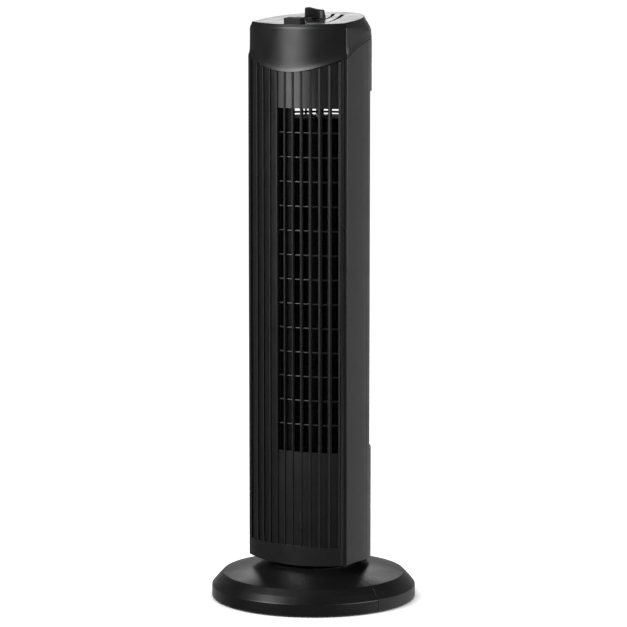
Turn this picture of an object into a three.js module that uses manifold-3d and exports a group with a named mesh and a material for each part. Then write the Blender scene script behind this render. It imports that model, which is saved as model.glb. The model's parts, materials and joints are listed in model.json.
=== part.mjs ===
// Tower fan: a column that swings on a round two-piece base, with a cross-flow blower inside.
// Millimetres, +Z up. The origin is on the floor, on the axis of the base. The air leaves towards -Y.
import * as THREE from 'three';
import { mergeVertices } from 'three/addons/utils/BufferGeometryUtils.js';
import Module from 'manifold-3d';

const wasm = await Module();
wasm.setup();

// ---------------------------------------------------------------- driving dimensions

// Fits
const SEAM_GAP = 0.5;          // visible gap between two housing parts
const FIT = 0.3;               // clearance between pieces that touch
const RUNNING_FIT = 0.4;       // radial clearance of a turning piece
const MELD = 0.6;              // how far one feature reaches into another that it is moulded with

// Base
const BASE_RADIUS = 123.5;
const BASE_WALL = 2.6;
const BASE_LIFT = 1.5;         // lower edge of the rim above the floor
const RIM_HEIGHT = 15.2;
const SLOPE_RISE = 15.5;       // from the rim's edge up to the ridge
const RIDGE_INSET = 13.5;
const DOME_RISE = 13.3;        // from the ridge up to the neck
const BASE_SPLIT_ANGLE = -20.5; // degrees from +X, the line where the halves meet
const FLANGE_WIDTH = 19;       // inward flange under the rim, which carries the feet
const FLANGE_THICKNESS = 2.5;
const FOOT_RADIUS = 7;
const FOOT_HEIGHT = 2.8;
const FOOT_COUNT = 6;
const BASE_SCREW_COUNT = 4;

// Neck, which carries the column
const NECK_RADIUS = 50;
const NECK_WALL = 3.5;
const NECK_TOP = 46.2;
const NECK_FLANGE_RADIUS = NECK_RADIUS + 20;
const NECK_FLANGE_THICKNESS = 3;
const BASE_SCREW_CIRCLE = NECK_RADIUS + 12;
const BASE_BOSS_RADIUS = 5;
const DECK_TOP = 39.5;
const DECK_THICKNESS = 3;
const SLIP_RING_THICKNESS = 1;
const PIVOT_RADIUS = 6.8;
const PIVOT_BORE = 4.4;
const PIVOT_BOTTOM = 30;
const WASHER_RADIUS = 14;
const WASHER_THICKNESS = 1.6;
const CLIP_RADIUS = 10;
const CLIP_THICKNESS = 1.2;

// Swing drive
const SWING_LIMIT = 32.5;      // degrees to each side
const CRANK_OFFSET = PIVOT_RADIUS + 18.2; // swing axis to the crank's axis
const CRANK_THROW = CRANK_OFFSET * Math.sin(THREE.MathUtils.degToRad(SWING_LIMIT));
const CRANK_PIN_RADIUS = 2.2;
const SLOT_CLEARANCE = 1.3;    // on each side of the pin, for the play of the open linkage
const SWING_MOTOR_RADIUS = 24.5;
const SWING_MOTOR_HEIGHT = 18;
const CRANK_SHAFT_RADIUS = 3;

// Column in plan
const COLUMN_HALF_WIDTH = 70.2;
const COLUMN_FRONT = -58;
const COLUMN_REAR = 74.5;
const COLUMN_WIDEST_Y = -8;
const FRONT_BULGE = 21.57;      // how far the front bows out across the column's width
const FRONT_RADIUS = (COLUMN_HALF_WIDTH ** 2 + FRONT_BULGE ** 2) / (2 * FRONT_BULGE);
const SIDE_FRONT_REACH = 137;  // how flat the sides are ahead of the widest point
const WALL = 2.4;
const SPLIT_Y = 9;             // where the front shell meets the rear shell

// Column in height
const COLUMN_BOTTOM = 51.6;
const BOTTOM_ARCH_RADIUS = 280;
const BOTTOM_ARCH_Y = -16;
const REAR_BOTTOM = 48;
const CAP_SEAM_RADIUS = 120;
const CAP_SEAM_Y = 30;
const OUTLET_BOTTOM = 186.5;
const OUTLET_TOP = 596;         // the height of everything above the outlet follows this
const CAP_SEAM_TOP = OUTLET_TOP + 80.5;
const CAP_WALL_TOP = CAP_SEAM_TOP + 13.5;
const CAP_LEAN = 2;            // how far the cap's wall leans in at its top

// Front grille
const LIP_X = COLUMN_HALF_WIDTH - 4.4; // inner edge of the front shell's corner lips
const FIN_COUNT = 11;
const FIRST_FIN_X = 15.3 - LIP_X;
const LAST_FIN_X = LIP_X - 5.3;
const FIN_STEP = (LAST_FIN_X - FIRST_FIN_X) / (FIN_COUNT - 1);
const FIN_WIDTH = 2;
const PANEL_RECESS = 1.8;      // closed panels, behind the faces of the fins
const BAR_RECESS = 3.3;
const GRILLE_DEPTH = 5.3;
const FIRST_OPEN_FIN = 3;      // the outlet starts at this fin, counted from 0
const BAR_STEP = 29;
const TOP_BAR_DROP = 28.8;
const BAR_COUNT = Math.floor((OUTLET_TOP - TOP_BAR_DROP - OUTLET_BOTTOM) / BAR_STEP);
const BAR_HEIGHT = 2.3;
const GRILLE_BAND_TOP = 72;
const LEFT_STRIP_X = 2.3 - LIP_X;
const RIGHT_STRIP_X = LIP_X - 3.2;

// Rear grille
const INLET_BOTTOM = 183;
const INLET_TOP = OUTLET_TOP + 18;
const INLET_INSET = 1.8;
const INLET_WALL = 2.2;
const INLET_EDGE_Y = 22;
const SLOT_PITCH = 24;
const SLOT_BAR = 4;
const SLOT_COLUMN_COUNT = 3;
const SLOT_COLUMN_RIB = 3;
const SLOTS_HALF_WIDTH = COLUMN_HALF_WIDTH - 15.2;

// Control panel
const PANEL_FRONT_Z = CAP_WALL_TOP + 4.3;
const PANEL_SLOPE = 0.1026;
const PANEL_THICKNESS = 2.6;
const PANEL_LEDGE = 4;
const SEAT_WIDTH = 1.4;         // ledge of the cap that the panel rests on
const SEAT_THICKNESS = 2.2;
const PANEL_HALF_WIDTH = COLUMN_HALF_WIDTH - 5.7;
const PANEL_REAR = COLUMN_REAR - 13.5;
const PANEL_WIDEST_Y = -14;
const KNOB_X = -1.5;
const KNOB_Y = 6;
const KNOB_SKIRT_RADIUS = 13;
const KNOB_SKIRT_HEIGHT = 3;
const KNOB_HEIGHT = 12;
const KNOB_LIFT = 0.6;
const KNOB_GRIP_LENGTH = 27;
const KNOB_GRIP_WIDTH = 10;
const KNOB_GRIP_ANGLE = -20;   // degrees from +X
const SWITCH_SHAFT_RADIUS = 3;
const SWITCH_SHAFT_TOP = 9;
const SPEED_SWITCH_SIZE = 28;
const SPEED_SWITCH_HEIGHT = 17;
const SPEED_SWITCH_TOP = -PANEL_THICKNESS - 0.7;
const BUTTON_X = 1.5;
const BUTTON_Y = -45.7;
const BUTTON_WIDTH = 22.7;
const BUTTON_DEPTH = 12.2;
const BUTTON_HEIGHT = 7;
const BUTTON_TRAVEL = 3;
const BUTTON_REST_DEPTH = 5;   // how far the button reaches below the panel's face
const STEM_HALF = 2.5;
const STEM_LENGTH = 6;
const SWING_SWITCH_WIDTH = 14;
const SWING_SWITCH_DEPTH = 8;
const SWING_SWITCH_HEIGHT = 14;

// Blower
const WHEEL_X = 5;
const WHEEL_Y = 10;
const WHEEL_RADIUS = COLUMN_REAR - WHEEL_Y - 18.5;
const WHEEL_BOTTOM = 187;
const WHEEL_TOP = OUTLET_TOP - 13;
const HUB_RADIUS = 11;
const TOP_PIN_RADIUS = 3;
const BEARING_RADIUS = 7;
const BEARING_RUBBER_RADIUS = 10.5;
const BLADE_COUNT = 14;
const BLADE_CHORD = 11;
const BLADE_THICKNESS = 1.4;
const BLADE_TILT = 38;         // degrees between a blade and the radius
const DISC_COUNT = 3;
const DISC_THICKNESS = 2.4;
const DUCT_CLEARANCE = 3;
const DUCT_WALL = 2;
const SCROLL_START = 40;       // degrees from +X, where the scroll leaves the inlet
const SCROLL_END = -5;
const SCROLL_GROWTH = 3;
const VORTEX_TIP = -104;       // degrees from +X
const VORTEX_END = -150;
const OUTLET_RIGHT_X = LAST_FIN_X + 0.5;
const LOWER_DECK_TOP = 180;
const UPPER_DECK_BOTTOM = OUTLET_TOP + 4;
const INNER_DECK_THICKNESS = 3;

// Blower motor
const MOTOR_RADIUS = 38;
const MOTOR_BOTTOM = 112;
const MOTOR_TOP = 166;
const STATOR_RADIUS = 41;
const STATOR_HEIGHT = 24;
const ROTOR_RADIUS = 22;
const MOTOR_SHAFT_RADIUS = 4;
const BUSH_RADIUS = 7.5;
const CAPACITOR_MARGIN = 10.2;  // from the column's side
const CAPACITOR_WIDTH = 16;
const CAPACITOR_HEIGHT = 26;
const MOTOR_SCREW_COUNT = 3;
const MOTOR_SCREW_CIRCLE = 47;

// Housing screws
const HOUSING_SCREW_X = COLUMN_HALF_WIDTH - 13.2;
const HOUSING_SCREW_HEIGHTS = [110, OUTLET_TOP + 49];
const HOUSING_BOSS_RADIUS = 4.4;
const HOUSING_RIB_HALF = 1.2;
const SCREW_SHANK_RADIUS = 1.5;
const SCREW_HEAD_RADIUS = 3.2;
const SCREW_HEAD_HEIGHT = 2;

// Cord grommet
const GROMMET_RADIUS = 7;
const GROMMET_Z = 78;
const GROMMET_BORE = 3.5;

// ---------------------------------------------------------------- solids

const FRONT_STEPS = 14;
const SIDE_STEPS = 2;
const REAR_STEPS = 14;
const STRIP_STEP = 13;         // length of the flats along the curved front
const ROUND_STEPS = 16;
const WIDE_STEPS = 32;         // for pieces as wide as the neck
const BASE_STEPS = 40;
const SCREW_STEPS = 10;
const FAR = 500;               // half of it reaches past the column's height

const radians = THREE.MathUtils.degToRad;

// A closed three.js geometry as a solid, with its faces pointing out.
function solid(geometry) {
  const bare = geometry.index ? geometry.toNonIndexed() : geometry.clone();
  bare.deleteAttribute('normal');
  bare.deleteAttribute('uv');
  const merged = mergeVertices(bare, 1e-4);
  const position = merged.getAttribute('position');
  const corners = [0, 1, 2].map(() => new THREE.Vector3());
  const triangles = [];
  let volume = 0;
  for (let i = 0; i < merged.index.count; i += 3) {
    const [a, b, c] = [0, 1, 2].map((k) => merged.index.getX(i + k));
    if (a === b || b === c || c === a) continue;
    [a, b, c].forEach((vertex, k) => corners[k].fromBufferAttribute(position, vertex));
    volume += corners[0].dot(corners[1].clone().cross(corners[2]));
    triangles.push([a, b, c]);
  }
  const outward = volume < 0 ? triangles.map(([a, b, c]) => [a, c, b]) : triangles;
  const mesh = new wasm.Mesh({
    numProp: 3,
    vertProperties: new Float32Array(position.array),
    triVerts: new Uint32Array(outward.flat()),
  });
  return new wasm.Manifold(mesh);
}

function geometryOf(body) {
  const mesh = body.getMesh();
  const geometry = new THREE.BufferGeometry();
  geometry.setAttribute('position', new THREE.BufferAttribute(new Float32Array(mesh.vertProperties), 3));
  geometry.setIndex(new THREE.BufferAttribute(new Uint32Array(mesh.triVerts), 1));
  geometry.computeVertexNormals();
  return geometry;
}

const joined = (...bodies) => bodies.reduce((whole, body) => whole.add(body));
const cut = (body, ...tools) => tools.reduce((rest, tool) => rest.subtract(tool), body);

function prism(points, bottom, top, holes = []) {
  const shape = new THREE.Shape(points);
  shape.holes = holes.map((hole) => new THREE.Path(hole));
  const geometry = new THREE.ExtrudeGeometry(shape, { depth: top - bottom, bevelEnabled: false });
  return solid(geometry.translate(0, 0, bottom));
}

function block(x0, x1, y0, y1, z0, z1) {
  const geometry = new THREE.BoxGeometry(x1 - x0, y1 - y0, z1 - z0);
  return solid(geometry.translate((x0 + x1) / 2, (y0 + y1) / 2, (z0 + z1) / 2));
}

// A block centred on the Z axis.
function centredBlock(width, depth, bottom, top) {
  return block(-width / 2, width / 2, -depth / 2, depth / 2, bottom, top);
}

// A turned piece from a closed profile of [radius, height] points, about an upright axis at (x, y).
function turned(profile, x = 0, y = 0, steps = ROUND_STEPS) {
  const points = [...profile, profile[0]].map(([radius, height]) => new THREE.Vector2(radius, height));
  const geometry = new THREE.LatheGeometry(points, steps).rotateX(Math.PI / 2);
  return solid(geometry.translate(x, y, 0));
}

function disc(radius, bottom, top, x = 0, y = 0, steps = ROUND_STEPS) {
  return turned([[0, bottom], [radius, bottom], [radius, top], [0, top]], x, y, steps);
}

function ring(inner, outer, bottom, top, x = 0, y = 0, steps = ROUND_STEPS) {
  return turned([[inner, bottom], [outer, bottom], [outer, top], [inner, top]], x, y, steps);
}

// A round bar along X or Y.
function lyingBar(axis, radius, from, to, across, height, steps = ROUND_STEPS) {
  const geometry = new THREE.CylinderGeometry(radius, radius, to - from, steps);
  const middle = (from + to) / 2;
  if (axis === 'x') {
    return solid(geometry.rotateZ(Math.PI / 2).translate(middle, across, height));
  }
  return solid(geometry.translate(across, middle, height));
}

// A closed ring-shaped skin through loops that hold the same number of points.
function skin(loops) {
  const count = loops[0].length;
  const vertices = [];
  loops.forEach((loop, i) => {
    const next = loops[(i + 1) % loops.length];
    for (let j = 0; j < count; j += 1) {
      const k = (j + 1) % count;
      vertices.push(...loop[j], ...loop[k], ...next[k], ...loop[j], ...next[k], ...next[j]);
    }
  });
  const geometry = new THREE.BufferGeometry();
  geometry.setAttribute('position', new THREE.BufferAttribute(new Float32Array(vertices), 3));
  return solid(geometry);
}

// ---------------------------------------------------------------- plan of the column

const columnPlan = {
  halfWidth: COLUMN_HALF_WIDTH,
  front: COLUMN_FRONT,
  rear: COLUMN_REAR,
  widestY: COLUMN_WIDEST_Y,
};
const panelPlan = {
  halfWidth: PANEL_HALF_WIDTH,
  front: COLUMN_FRONT + PANEL_LEDGE,
  rear: PANEL_REAR,
  widestY: PANEL_WIDEST_Y,
};

const arcRadius = (plan) => FRONT_RADIUS - (plan.front - COLUMN_FRONT);
const arcCentreY = (plan) => plan.front + arcRadius(plan);

function sideX(plan, y, inset = 0) {
  const reach = y > plan.widestY ? plan.rear - plan.widestY : SIDE_FRONT_REACH;
  const share = (y - plan.widestY) / (reach - inset);
  return (plan.halfWidth - inset) * Math.sqrt(Math.max(0, 1 - share * share));
}

function frontY(x, inset = 0, plan = columnPlan) {
  return arcCentreY(plan) - Math.sqrt((arcRadius(plan) - inset) ** 2 - x * x);
}

// The y of the corner where the curved front meets a side.
function cornerY(plan, inset) {
  let low = plan.front;
  let high = plan.widestY;
  for (let i = 0; i < 40; i += 1) {
    const middle = (low + high) / 2;
    if (frontY(sideX(plan, middle, inset), inset, plan) > middle) low = middle;
    else high = middle;
  }
  return low;
}

// The outline, moved inwards by inset: front arc from left to right, then round the rear.
function outline(plan, inset = 0) {
  const startY = cornerY(plan, inset);
  const startX = sideX(plan, startY, inset);
  const radius = arcRadius(plan) - inset;
  const reach = Math.asin(startX / radius);
  const points = [];
  for (let i = 0; i < FRONT_STEPS; i += 1) {
    const angle = reach * (2 * i / FRONT_STEPS - 1);
    points.push([radius * Math.sin(angle), arcCentreY(plan) - radius * Math.cos(angle)]);
  }
  const sideYs = [];
  for (let i = 0; i < SIDE_STEPS; i += 1) {
    sideYs.push(startY + (plan.widestY - startY) * i / SIDE_STEPS);
  }
  sideYs.forEach((y) => points.push([sideX(plan, y, inset), y]));
  for (let i = 0; i <= REAR_STEPS; i += 1) {
    const angle = Math.PI * i / REAR_STEPS;
    const x = (plan.halfWidth - inset) * Math.cos(angle);
    points.push([x, plan.widestY + (plan.rear - plan.widestY - inset) * Math.sin(angle)]);
  }
  sideYs.slice().reverse().slice(0, -1).forEach((y) => points.push([-sideX(plan, y, inset), y]));
  return points;
}

const vectors = (points) => points.map(([x, y]) => new THREE.Vector2(x, y));

function columnSlice(inset, bottom, top) {
  return prism(vectors(outline(columnPlan, inset)), bottom, top);
}

function columnTube(inset, wall, bottom, top) {
  const inner = vectors(outline(columnPlan, inset + wall));
  return prism(vectors(outline(columnPlan, inset)), bottom, top, [inner]);
}

// A strip that follows the curved front between two depths, from x0 to x1.
function frontStrip(x0, x1, near, far, bottom, top) {
  const steps = Math.max(1, Math.round(Math.abs(x1 - x0) / STRIP_STEP));
  const xs = Array.from({ length: steps + 1 }, (_, i) => x0 + (x1 - x0) * i / steps);
  const nearEdge = xs.map((x) => new THREE.Vector2(x, frontY(x, near)));
  const farEdge = xs.reverse().map((x) => new THREE.Vector2(x, frontY(x, far)));
  return prism([...nearEdge, ...farEdge], bottom, top);
}

// ---------------------------------------------------------------- seams

const capSeamCentreZ = CAP_SEAM_TOP - CAP_SEAM_RADIUS;

function capSeamZ(y) {
  return capSeamCentreZ + Math.sqrt(CAP_SEAM_RADIUS ** 2 - (y - CAP_SEAM_Y) ** 2);
}

// Removes everything above the cap's arched seam.
function underCapSeam(body) {
  const above = block(-FAR, FAR, -FAR, FAR, capSeamCentreZ, capSeamCentreZ + FAR);
  const radius = CAP_SEAM_RADIUS - SEAM_GAP;
  const arch = lyingBar('x', radius, -FAR - 1, FAR + 1, CAP_SEAM_Y, capSeamCentreZ, 96);
  return cut(body, above.subtract(arch));
}

// Removes what hangs below the arched lower edge of the column.
function aboveBottomArch(body) {
  const centreZ = COLUMN_BOTTOM - BOTTOM_ARCH_RADIUS;
  return cut(body, lyingBar('x', BOTTOM_ARCH_RADIUS, -FAR, FAR, BOTTOM_ARCH_Y, centreZ, 192));
}

// ---------------------------------------------------------------- materials and nodes

const finishes = {
  shell: { color: 0x17181a, roughness: 0.42, metalness: 0 },
  innerPlastic: { color: 0x101112, roughness: 0.6, metalness: 0 },
  panel: { color: 0x1b1c1e, roughness: 0.25, metalness: 0 },
  rubber: { color: 0x0b0b0c, roughness: 0.9, metalness: 0 },
  steel: { color: 0x9a9da1, roughness: 0.35, metalness: 1 },
  laminations: { color: 0x5d6064, roughness: 0.5, metalness: 1 },
  acetal: { color: 0xd8d6cf, roughness: 0.5, metalness: 0 },
  brass: { color: 0xb08d4a, roughness: 0.35, metalness: 1 },
  capacitor: { color: 0xc9c9c4, roughness: 0.5, metalness: 0 },
};

const fan = new THREE.Group();

function node(name, body, finish, place) {
  const mesh = new THREE.Mesh(geometryOf(body), new THREE.MeshStandardMaterial(finishes[finish]));
  mesh.name = name;
  if (place) place.add(mesh);
  else fan.add(mesh);
}

function around(count, radius, startAngle, make) {
  for (let i = 0; i < count; i += 1) {
    const angle = radians(startAngle + 360 * i / count);
    make(i + 1, radius * Math.cos(angle), radius * Math.sin(angle));
  }
}

// A pan-head screw that points up, with the face of its head at headFace.
function uprightScrew(x, y, headFace, length) {
  const headBack = headFace + SCREW_HEAD_HEIGHT;
  const head = disc(SCREW_HEAD_RADIUS, headFace, headBack, x, y, SCREW_STEPS);
  const shank = disc(SCREW_SHANK_RADIUS, headBack - MELD, headBack + length, x, y, SCREW_STEPS);
  return joined(head, shank);
}

// ---------------------------------------------------------------- base

const slopeEdgeZ = RIM_HEIGHT + 3.8;
const ridgeZ = RIM_HEIGHT + SLOPE_RISE;
const ridgeRadius = BASE_RADIUS - RIDGE_INSET;
const neckHoleRadius = NECK_RADIUS + 2;
const domeTopZ = ridgeZ + DOME_RISE;
const DOME_STEPS = 4;

// Height of the shallow dome at a radius between the neck hole and the ridge.
function domeZ(radius) {
  const share = (ridgeRadius - radius) / (ridgeRadius - neckHoleRadius);
  return ridgeZ + DOME_RISE * (1.35 * share - 0.35 * share * share);
}

function baseProfile() {
  const outer = [
    [BASE_RADIUS, BASE_LIFT],
    [BASE_RADIUS, RIM_HEIGHT],
    [BASE_RADIUS - 0.8, slopeEdgeZ],
    [BASE_RADIUS - 4.5, ridgeZ - 6.2],
    [ridgeRadius, ridgeZ],
  ];
  for (let i = 1; i <= DOME_STEPS; i += 1) {
    const radius = ridgeRadius + (neckHoleRadius - ridgeRadius) * i / DOME_STEPS;
    outer.push([radius, domeZ(radius)]);
  }
  const flangeZ = FOOT_HEIGHT + FIT;
  const inner = [
    [neckHoleRadius, domeTopZ - BASE_WALL],
    [(neckHoleRadius + ridgeRadius) / 2, domeZ((neckHoleRadius + ridgeRadius) / 2) - BASE_WALL],
    [ridgeRadius - 1, ridgeZ - BASE_WALL],
    [BASE_RADIUS - 4.5 - 0.6 * BASE_WALL, ridgeZ - 6.2 - 0.8 * BASE_WALL],
    [BASE_RADIUS - BASE_WALL, RIM_HEIGHT],
    [BASE_RADIUS - BASE_WALL, flangeZ + FLANGE_THICKNESS],
    [BASE_RADIUS - BASE_WALL - FLANGE_WIDTH, flangeZ + FLANGE_THICKNESS],
    [BASE_RADIUS - BASE_WALL - FLANGE_WIDTH, flangeZ],
    [BASE_RADIUS - BASE_WALL, flangeZ],
    [BASE_RADIUS - BASE_WALL, BASE_LIFT],
  ];
  return [...outer, ...inner];
}

const flangeTop = domeZ(BASE_SCREW_CIRCLE) - BASE_WALL - 5;
const flangeBottom = flangeTop - NECK_FLANGE_THICKNESS;
const baseScrewStart = BASE_SPLIT_ANGLE + 45;

function baseWhole() {
  let body = turned(baseProfile(), 0, 0, BASE_STEPS);
  around(BASE_SCREW_COUNT, BASE_SCREW_CIRCLE, baseScrewStart, (_, x, y) => {
    const roof = domeZ(BASE_SCREW_CIRCLE) - BASE_WALL;
    const boss = disc(BASE_BOSS_RADIUS, flangeTop + FIT, roof + BASE_WALL / 2, x, y, SCREW_STEPS);
    const pilot = disc(SCREW_SHANK_RADIUS + 0.1, flangeTop, roof, x, y, SCREW_STEPS);
    body = cut(joined(body, boss), pilot);
  });
  return body;
}

function buildBase() {
  const whole = baseWhole();
  const halfBlock = block(-FAR, FAR, SEAM_GAP / 2, FAR, -FAR, FAR);
  const halves = { base_rear_half: 0, base_front_half: 180 };
  Object.entries(halves).forEach(([name, turn]) => {
    node(name, whole.intersect(halfBlock.rotate([0, 0, BASE_SPLIT_ANGLE + turn])), 'shell');
  });
  around(FOOT_COUNT, BASE_RADIUS - BASE_WALL - FLANGE_WIDTH / 2, BASE_SPLIT_ANGLE + 30, (i, x, y) => {
    node(`foot_${i}`, disc(FOOT_RADIUS, 0, FOOT_HEIGHT, x, y), 'rubber');
  });
  around(BASE_SCREW_COUNT, BASE_SCREW_CIRCLE, baseScrewStart, (i, x, y) => {
    const headFace = flangeBottom - SCREW_HEAD_HEIGHT - FIT;
    node(`base_screw_${i}`, uprightScrew(x, y, headFace, NECK_FLANGE_THICKNESS + 4.5), 'steel');
  });
}

// ---------------------------------------------------------------- neck and swing drive

const skirtOuter = NECK_RADIUS - NECK_WALL - RUNNING_FIT;
const slipRingTop = NECK_TOP + FIT + SLIP_RING_THICKNESS;
const turretBottom = slipRingTop + FIT;
const plateBottom = COLUMN_BOTTOM + 2;
const plateTop = plateBottom + 3;
const slotHalfWidth = CRANK_PIN_RADIUS + SLOT_CLEARANCE;

function neckBody() {
  const profile = [
    [PIVOT_RADIUS + RUNNING_FIT, DECK_TOP - DECK_THICKNESS],
    [NECK_RADIUS - NECK_WALL, DECK_TOP - DECK_THICKNESS],
    [NECK_RADIUS - NECK_WALL, flangeBottom],
    [NECK_FLANGE_RADIUS, flangeBottom],
    [NECK_FLANGE_RADIUS, flangeTop],
    [NECK_RADIUS, flangeTop],
    [NECK_RADIUS, NECK_TOP],
    [NECK_RADIUS - NECK_WALL, NECK_TOP],
    [NECK_RADIUS - NECK_WALL, DECK_TOP],
    [PIVOT_RADIUS + RUNNING_FIT, DECK_TOP],
  ];
  let body = turned(profile, 0, 0, WIDE_STEPS);
  const slotNear = CRANK_OFFSET - CRANK_THROW - slotHalfWidth;
  const slotFar = CRANK_OFFSET + CRANK_THROW + slotHalfWidth;
  const slotBottom = DECK_TOP - DECK_THICKNESS - 1;
  body = cut(body, block(-slotHalfWidth, slotHalfWidth, slotNear, slotFar, slotBottom, DECK_TOP + 1));
  around(BASE_SCREW_COUNT, BASE_SCREW_CIRCLE, baseScrewStart, (_, x, y) => {
    body = cut(body, disc(SCREW_SHANK_RADIUS + FIT, flangeBottom - 1, flangeTop + 1, x, y, SCREW_STEPS));
  });
  return body;
}

function bottomPlate() {
  const plate = innerDeck(plateBottom, []);
  const skirtInner = skirtOuter - 2.6;
  const turret = ring(skirtInner, NECK_RADIUS + 1, turretBottom, plateBottom + MELD, 0, 0, WIDE_STEPS);
  const skirt = ring(skirtInner, skirtOuter, DECK_TOP + 1.5, turretBottom + MELD, 0, 0, WIDE_STEPS);
  const pivot = disc(PIVOT_RADIUS, PIVOT_BOTTOM, plateBottom + MELD);
  const wireway = disc(PIVOT_BORE, PIVOT_BOTTOM - 1, plateTop + 1);
  const groove = ring(PIVOT_RADIUS - 1, PIVOT_RADIUS + 2, clipBottom - FIT, clipTop + FIT);
  const driveHole = disc(7, plateBottom - 1, plateTop + 1, 0, CRANK_OFFSET);
  return cut(joined(plate, turret, skirt, pivot), wireway, groove, driveHole);
}

const washerTop = DECK_TOP - DECK_THICKNESS - FIT;
const washerBottom = washerTop - WASHER_THICKNESS;
const clipTop = washerBottom - FIT;
const clipBottom = clipTop - CLIP_THICKNESS;

function buildNeck() {
  node('neck', neckBody(), 'innerPlastic');
  const ringBottom = NECK_TOP + FIT;
  const ringInner = NECK_RADIUS - NECK_WALL;
  const slipRing = ring(ringInner, NECK_RADIUS - 0.5, ringBottom, slipRingTop, 0, 0, WIDE_STEPS);
  node('slip_ring', slipRing, 'acetal');
  node('bottom_plate', bottomPlate(), 'innerPlastic');
  node('pivot_washer', ring(PIVOT_RADIUS + FIT, WASHER_RADIUS, washerBottom, washerTop), 'steel');
  const clip = ring(PIVOT_RADIUS - 1 + FIT, CLIP_RADIUS, clipBottom, clipTop);
  node('pivot_clip', cut(clip, block(-4, 4, 0, 20, clipBottom - 1, clipTop + 1)), 'steel');
}

function buildSwingDrive() {
  const canBottom = plateTop + FIT;
  const canTop = canBottom + SWING_MOTOR_HEIGHT;
  const can = disc(SWING_MOTOR_RADIUS, canBottom, canTop, 0, CRANK_OFFSET);
  const ears = block(-30, 30, CRANK_OFFSET - 4, CRANK_OFFSET + 4, canBottom, canBottom + 1.5);
  const shaftHole = disc(CRANK_SHAFT_RADIUS + FIT, canBottom - 1, canBottom + 9, 0, CRANK_OFFSET);
  const screwHoles = [-27.2, 27.2].map((x) => (
    disc(SCREW_SHANK_RADIUS + FIT, canBottom - 1, canBottom + 3, x, CRANK_OFFSET, SCREW_STEPS)
  ));
  node('swing_motor', cut(joined(can, ears), shaftHole, ...screwHoles), 'steel');

  const pinY = CRANK_OFFSET - CRANK_THROW;
  const armBottom = DECK_TOP + 5.5;
  const armTop = armBottom + 4;
  const boss = disc(6.5, armBottom, armTop, 0, CRANK_OFFSET);
  const link = block(-4, 4, pinY, CRANK_OFFSET, armBottom, armTop);
  const arm = joined(boss, link, disc(4, armBottom, armTop, 0, pinY));
  const shaft = disc(CRANK_SHAFT_RADIUS, armTop - MELD, canBottom + 8, 0, CRANK_OFFSET);
  const pin = disc(CRANK_PIN_RADIUS, DECK_TOP - DECK_THICKNESS + FIT, armBottom + MELD, 0, pinY);
  node('swing_crank', joined(arm, shaft, pin), 'acetal');
}

// ---------------------------------------------------------------- shells

function housingBoss(x, z, fromY, toY) {
  return lyingBar('y', HOUSING_BOSS_RADIUS, fromY, toY, x, z, SCREW_STEPS);
}

function eachHousingScrew(visit) {
  let index = 0;
  HOUSING_SCREW_HEIGHTS.forEach((z) => [-1, 1].forEach((side) => {
    index += 1;
    visit(index, side * HOUSING_SCREW_X, z);
  }));
}

const screwSeatY = SPLIT_Y + FIT + 3;
const screwTipY = screwSeatY - 12;

function frontShell() {
  const bandInset = GRILLE_DEPTH + 1.2;
  let body = columnTube(0, WALL, 40, CAP_SEAM_TOP);
  body = cut(body, block(-FAR, FAR, SPLIT_Y, FAR, 0, FAR * 3));
  body = cut(body, block(-LIP_X, LIP_X, -FAR, COLUMN_WIDEST_Y - 20, 0, FAR * 3));
  const reach = COLUMN_HALF_WIDTH;
  const lowerTop = LOWER_DECK_TOP - INNER_DECK_THICKNESS - FIT;
  const upperBottom = UPPER_DECK_BOTTOM + INNER_DECK_THICKNESS + FIT;
  const band = columnSlice(WALL / 2, 0, FAR * 2).intersect(joined(
    frontStrip(-reach, reach, bandInset, bandInset + WALL, plateTop + FIT, lowerTop),
    frontStrip(-reach, reach, bandInset, bandInset + WALL, upperBottom, CAP_SEAM_TOP),
  ));
  body = joined(body, band);
  eachHousingScrew((_, x, z) => {
    const side = Math.sign(x) * (COLUMN_HALF_WIDTH - WALL);
    const ribXs = [Math.min(x, side), Math.max(x, side)];
    const rib = block(...ribXs, screwTipY - 3, SPLIT_Y, z - HOUSING_RIB_HALF, z + HOUSING_RIB_HALF);
    const inside = columnSlice(WALL / 2, 0, FAR * 2);
    body = joined(body, housingBoss(x, z, screwTipY - 3, SPLIT_Y), rib.intersect(inside));
    body = cut(body, lyingBar('y', SCREW_SHANK_RADIUS + 0.1, screwTipY - 1, SPLIT_Y + 1, x, z, SCREW_STEPS));
  });
  return aboveBottomArch(underCapSeam(body));
}

function rearShell() {
  const frontEdge = SPLIT_Y + SEAM_GAP;
  let body = columnTube(0, WALL, REAR_BOTTOM, CAP_SEAM_TOP);
  body = cut(body, block(-FAR, FAR, INLET_EDGE_Y, FAR, INLET_BOTTOM, INLET_TOP));
  const bounds = columnSlice(0, 0, FAR * 2);
  eachHousingScrew((_, x, z) => {
    body = joined(body, housingBoss(x, z, frontEdge, COLUMN_REAR).intersect(bounds));
    body = cut(body, lyingBar('y', SCREW_HEAD_RADIUS + FIT, screwSeatY, FAR, x, z, SCREW_STEPS));
    body = cut(body, lyingBar('y', SCREW_SHANK_RADIUS + FIT, 0, screwSeatY + 1, x, z, SCREW_STEPS));
  });
  body = cut(body, block(-FAR, FAR, -FAR, frontEdge, 0, FAR * 3));
  body = cut(body, lyingBar('y', GROMMET_RADIUS + FIT, COLUMN_REAR - 15, FAR, 0, GROMMET_Z));
  return underCapSeam(body);
}

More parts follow.
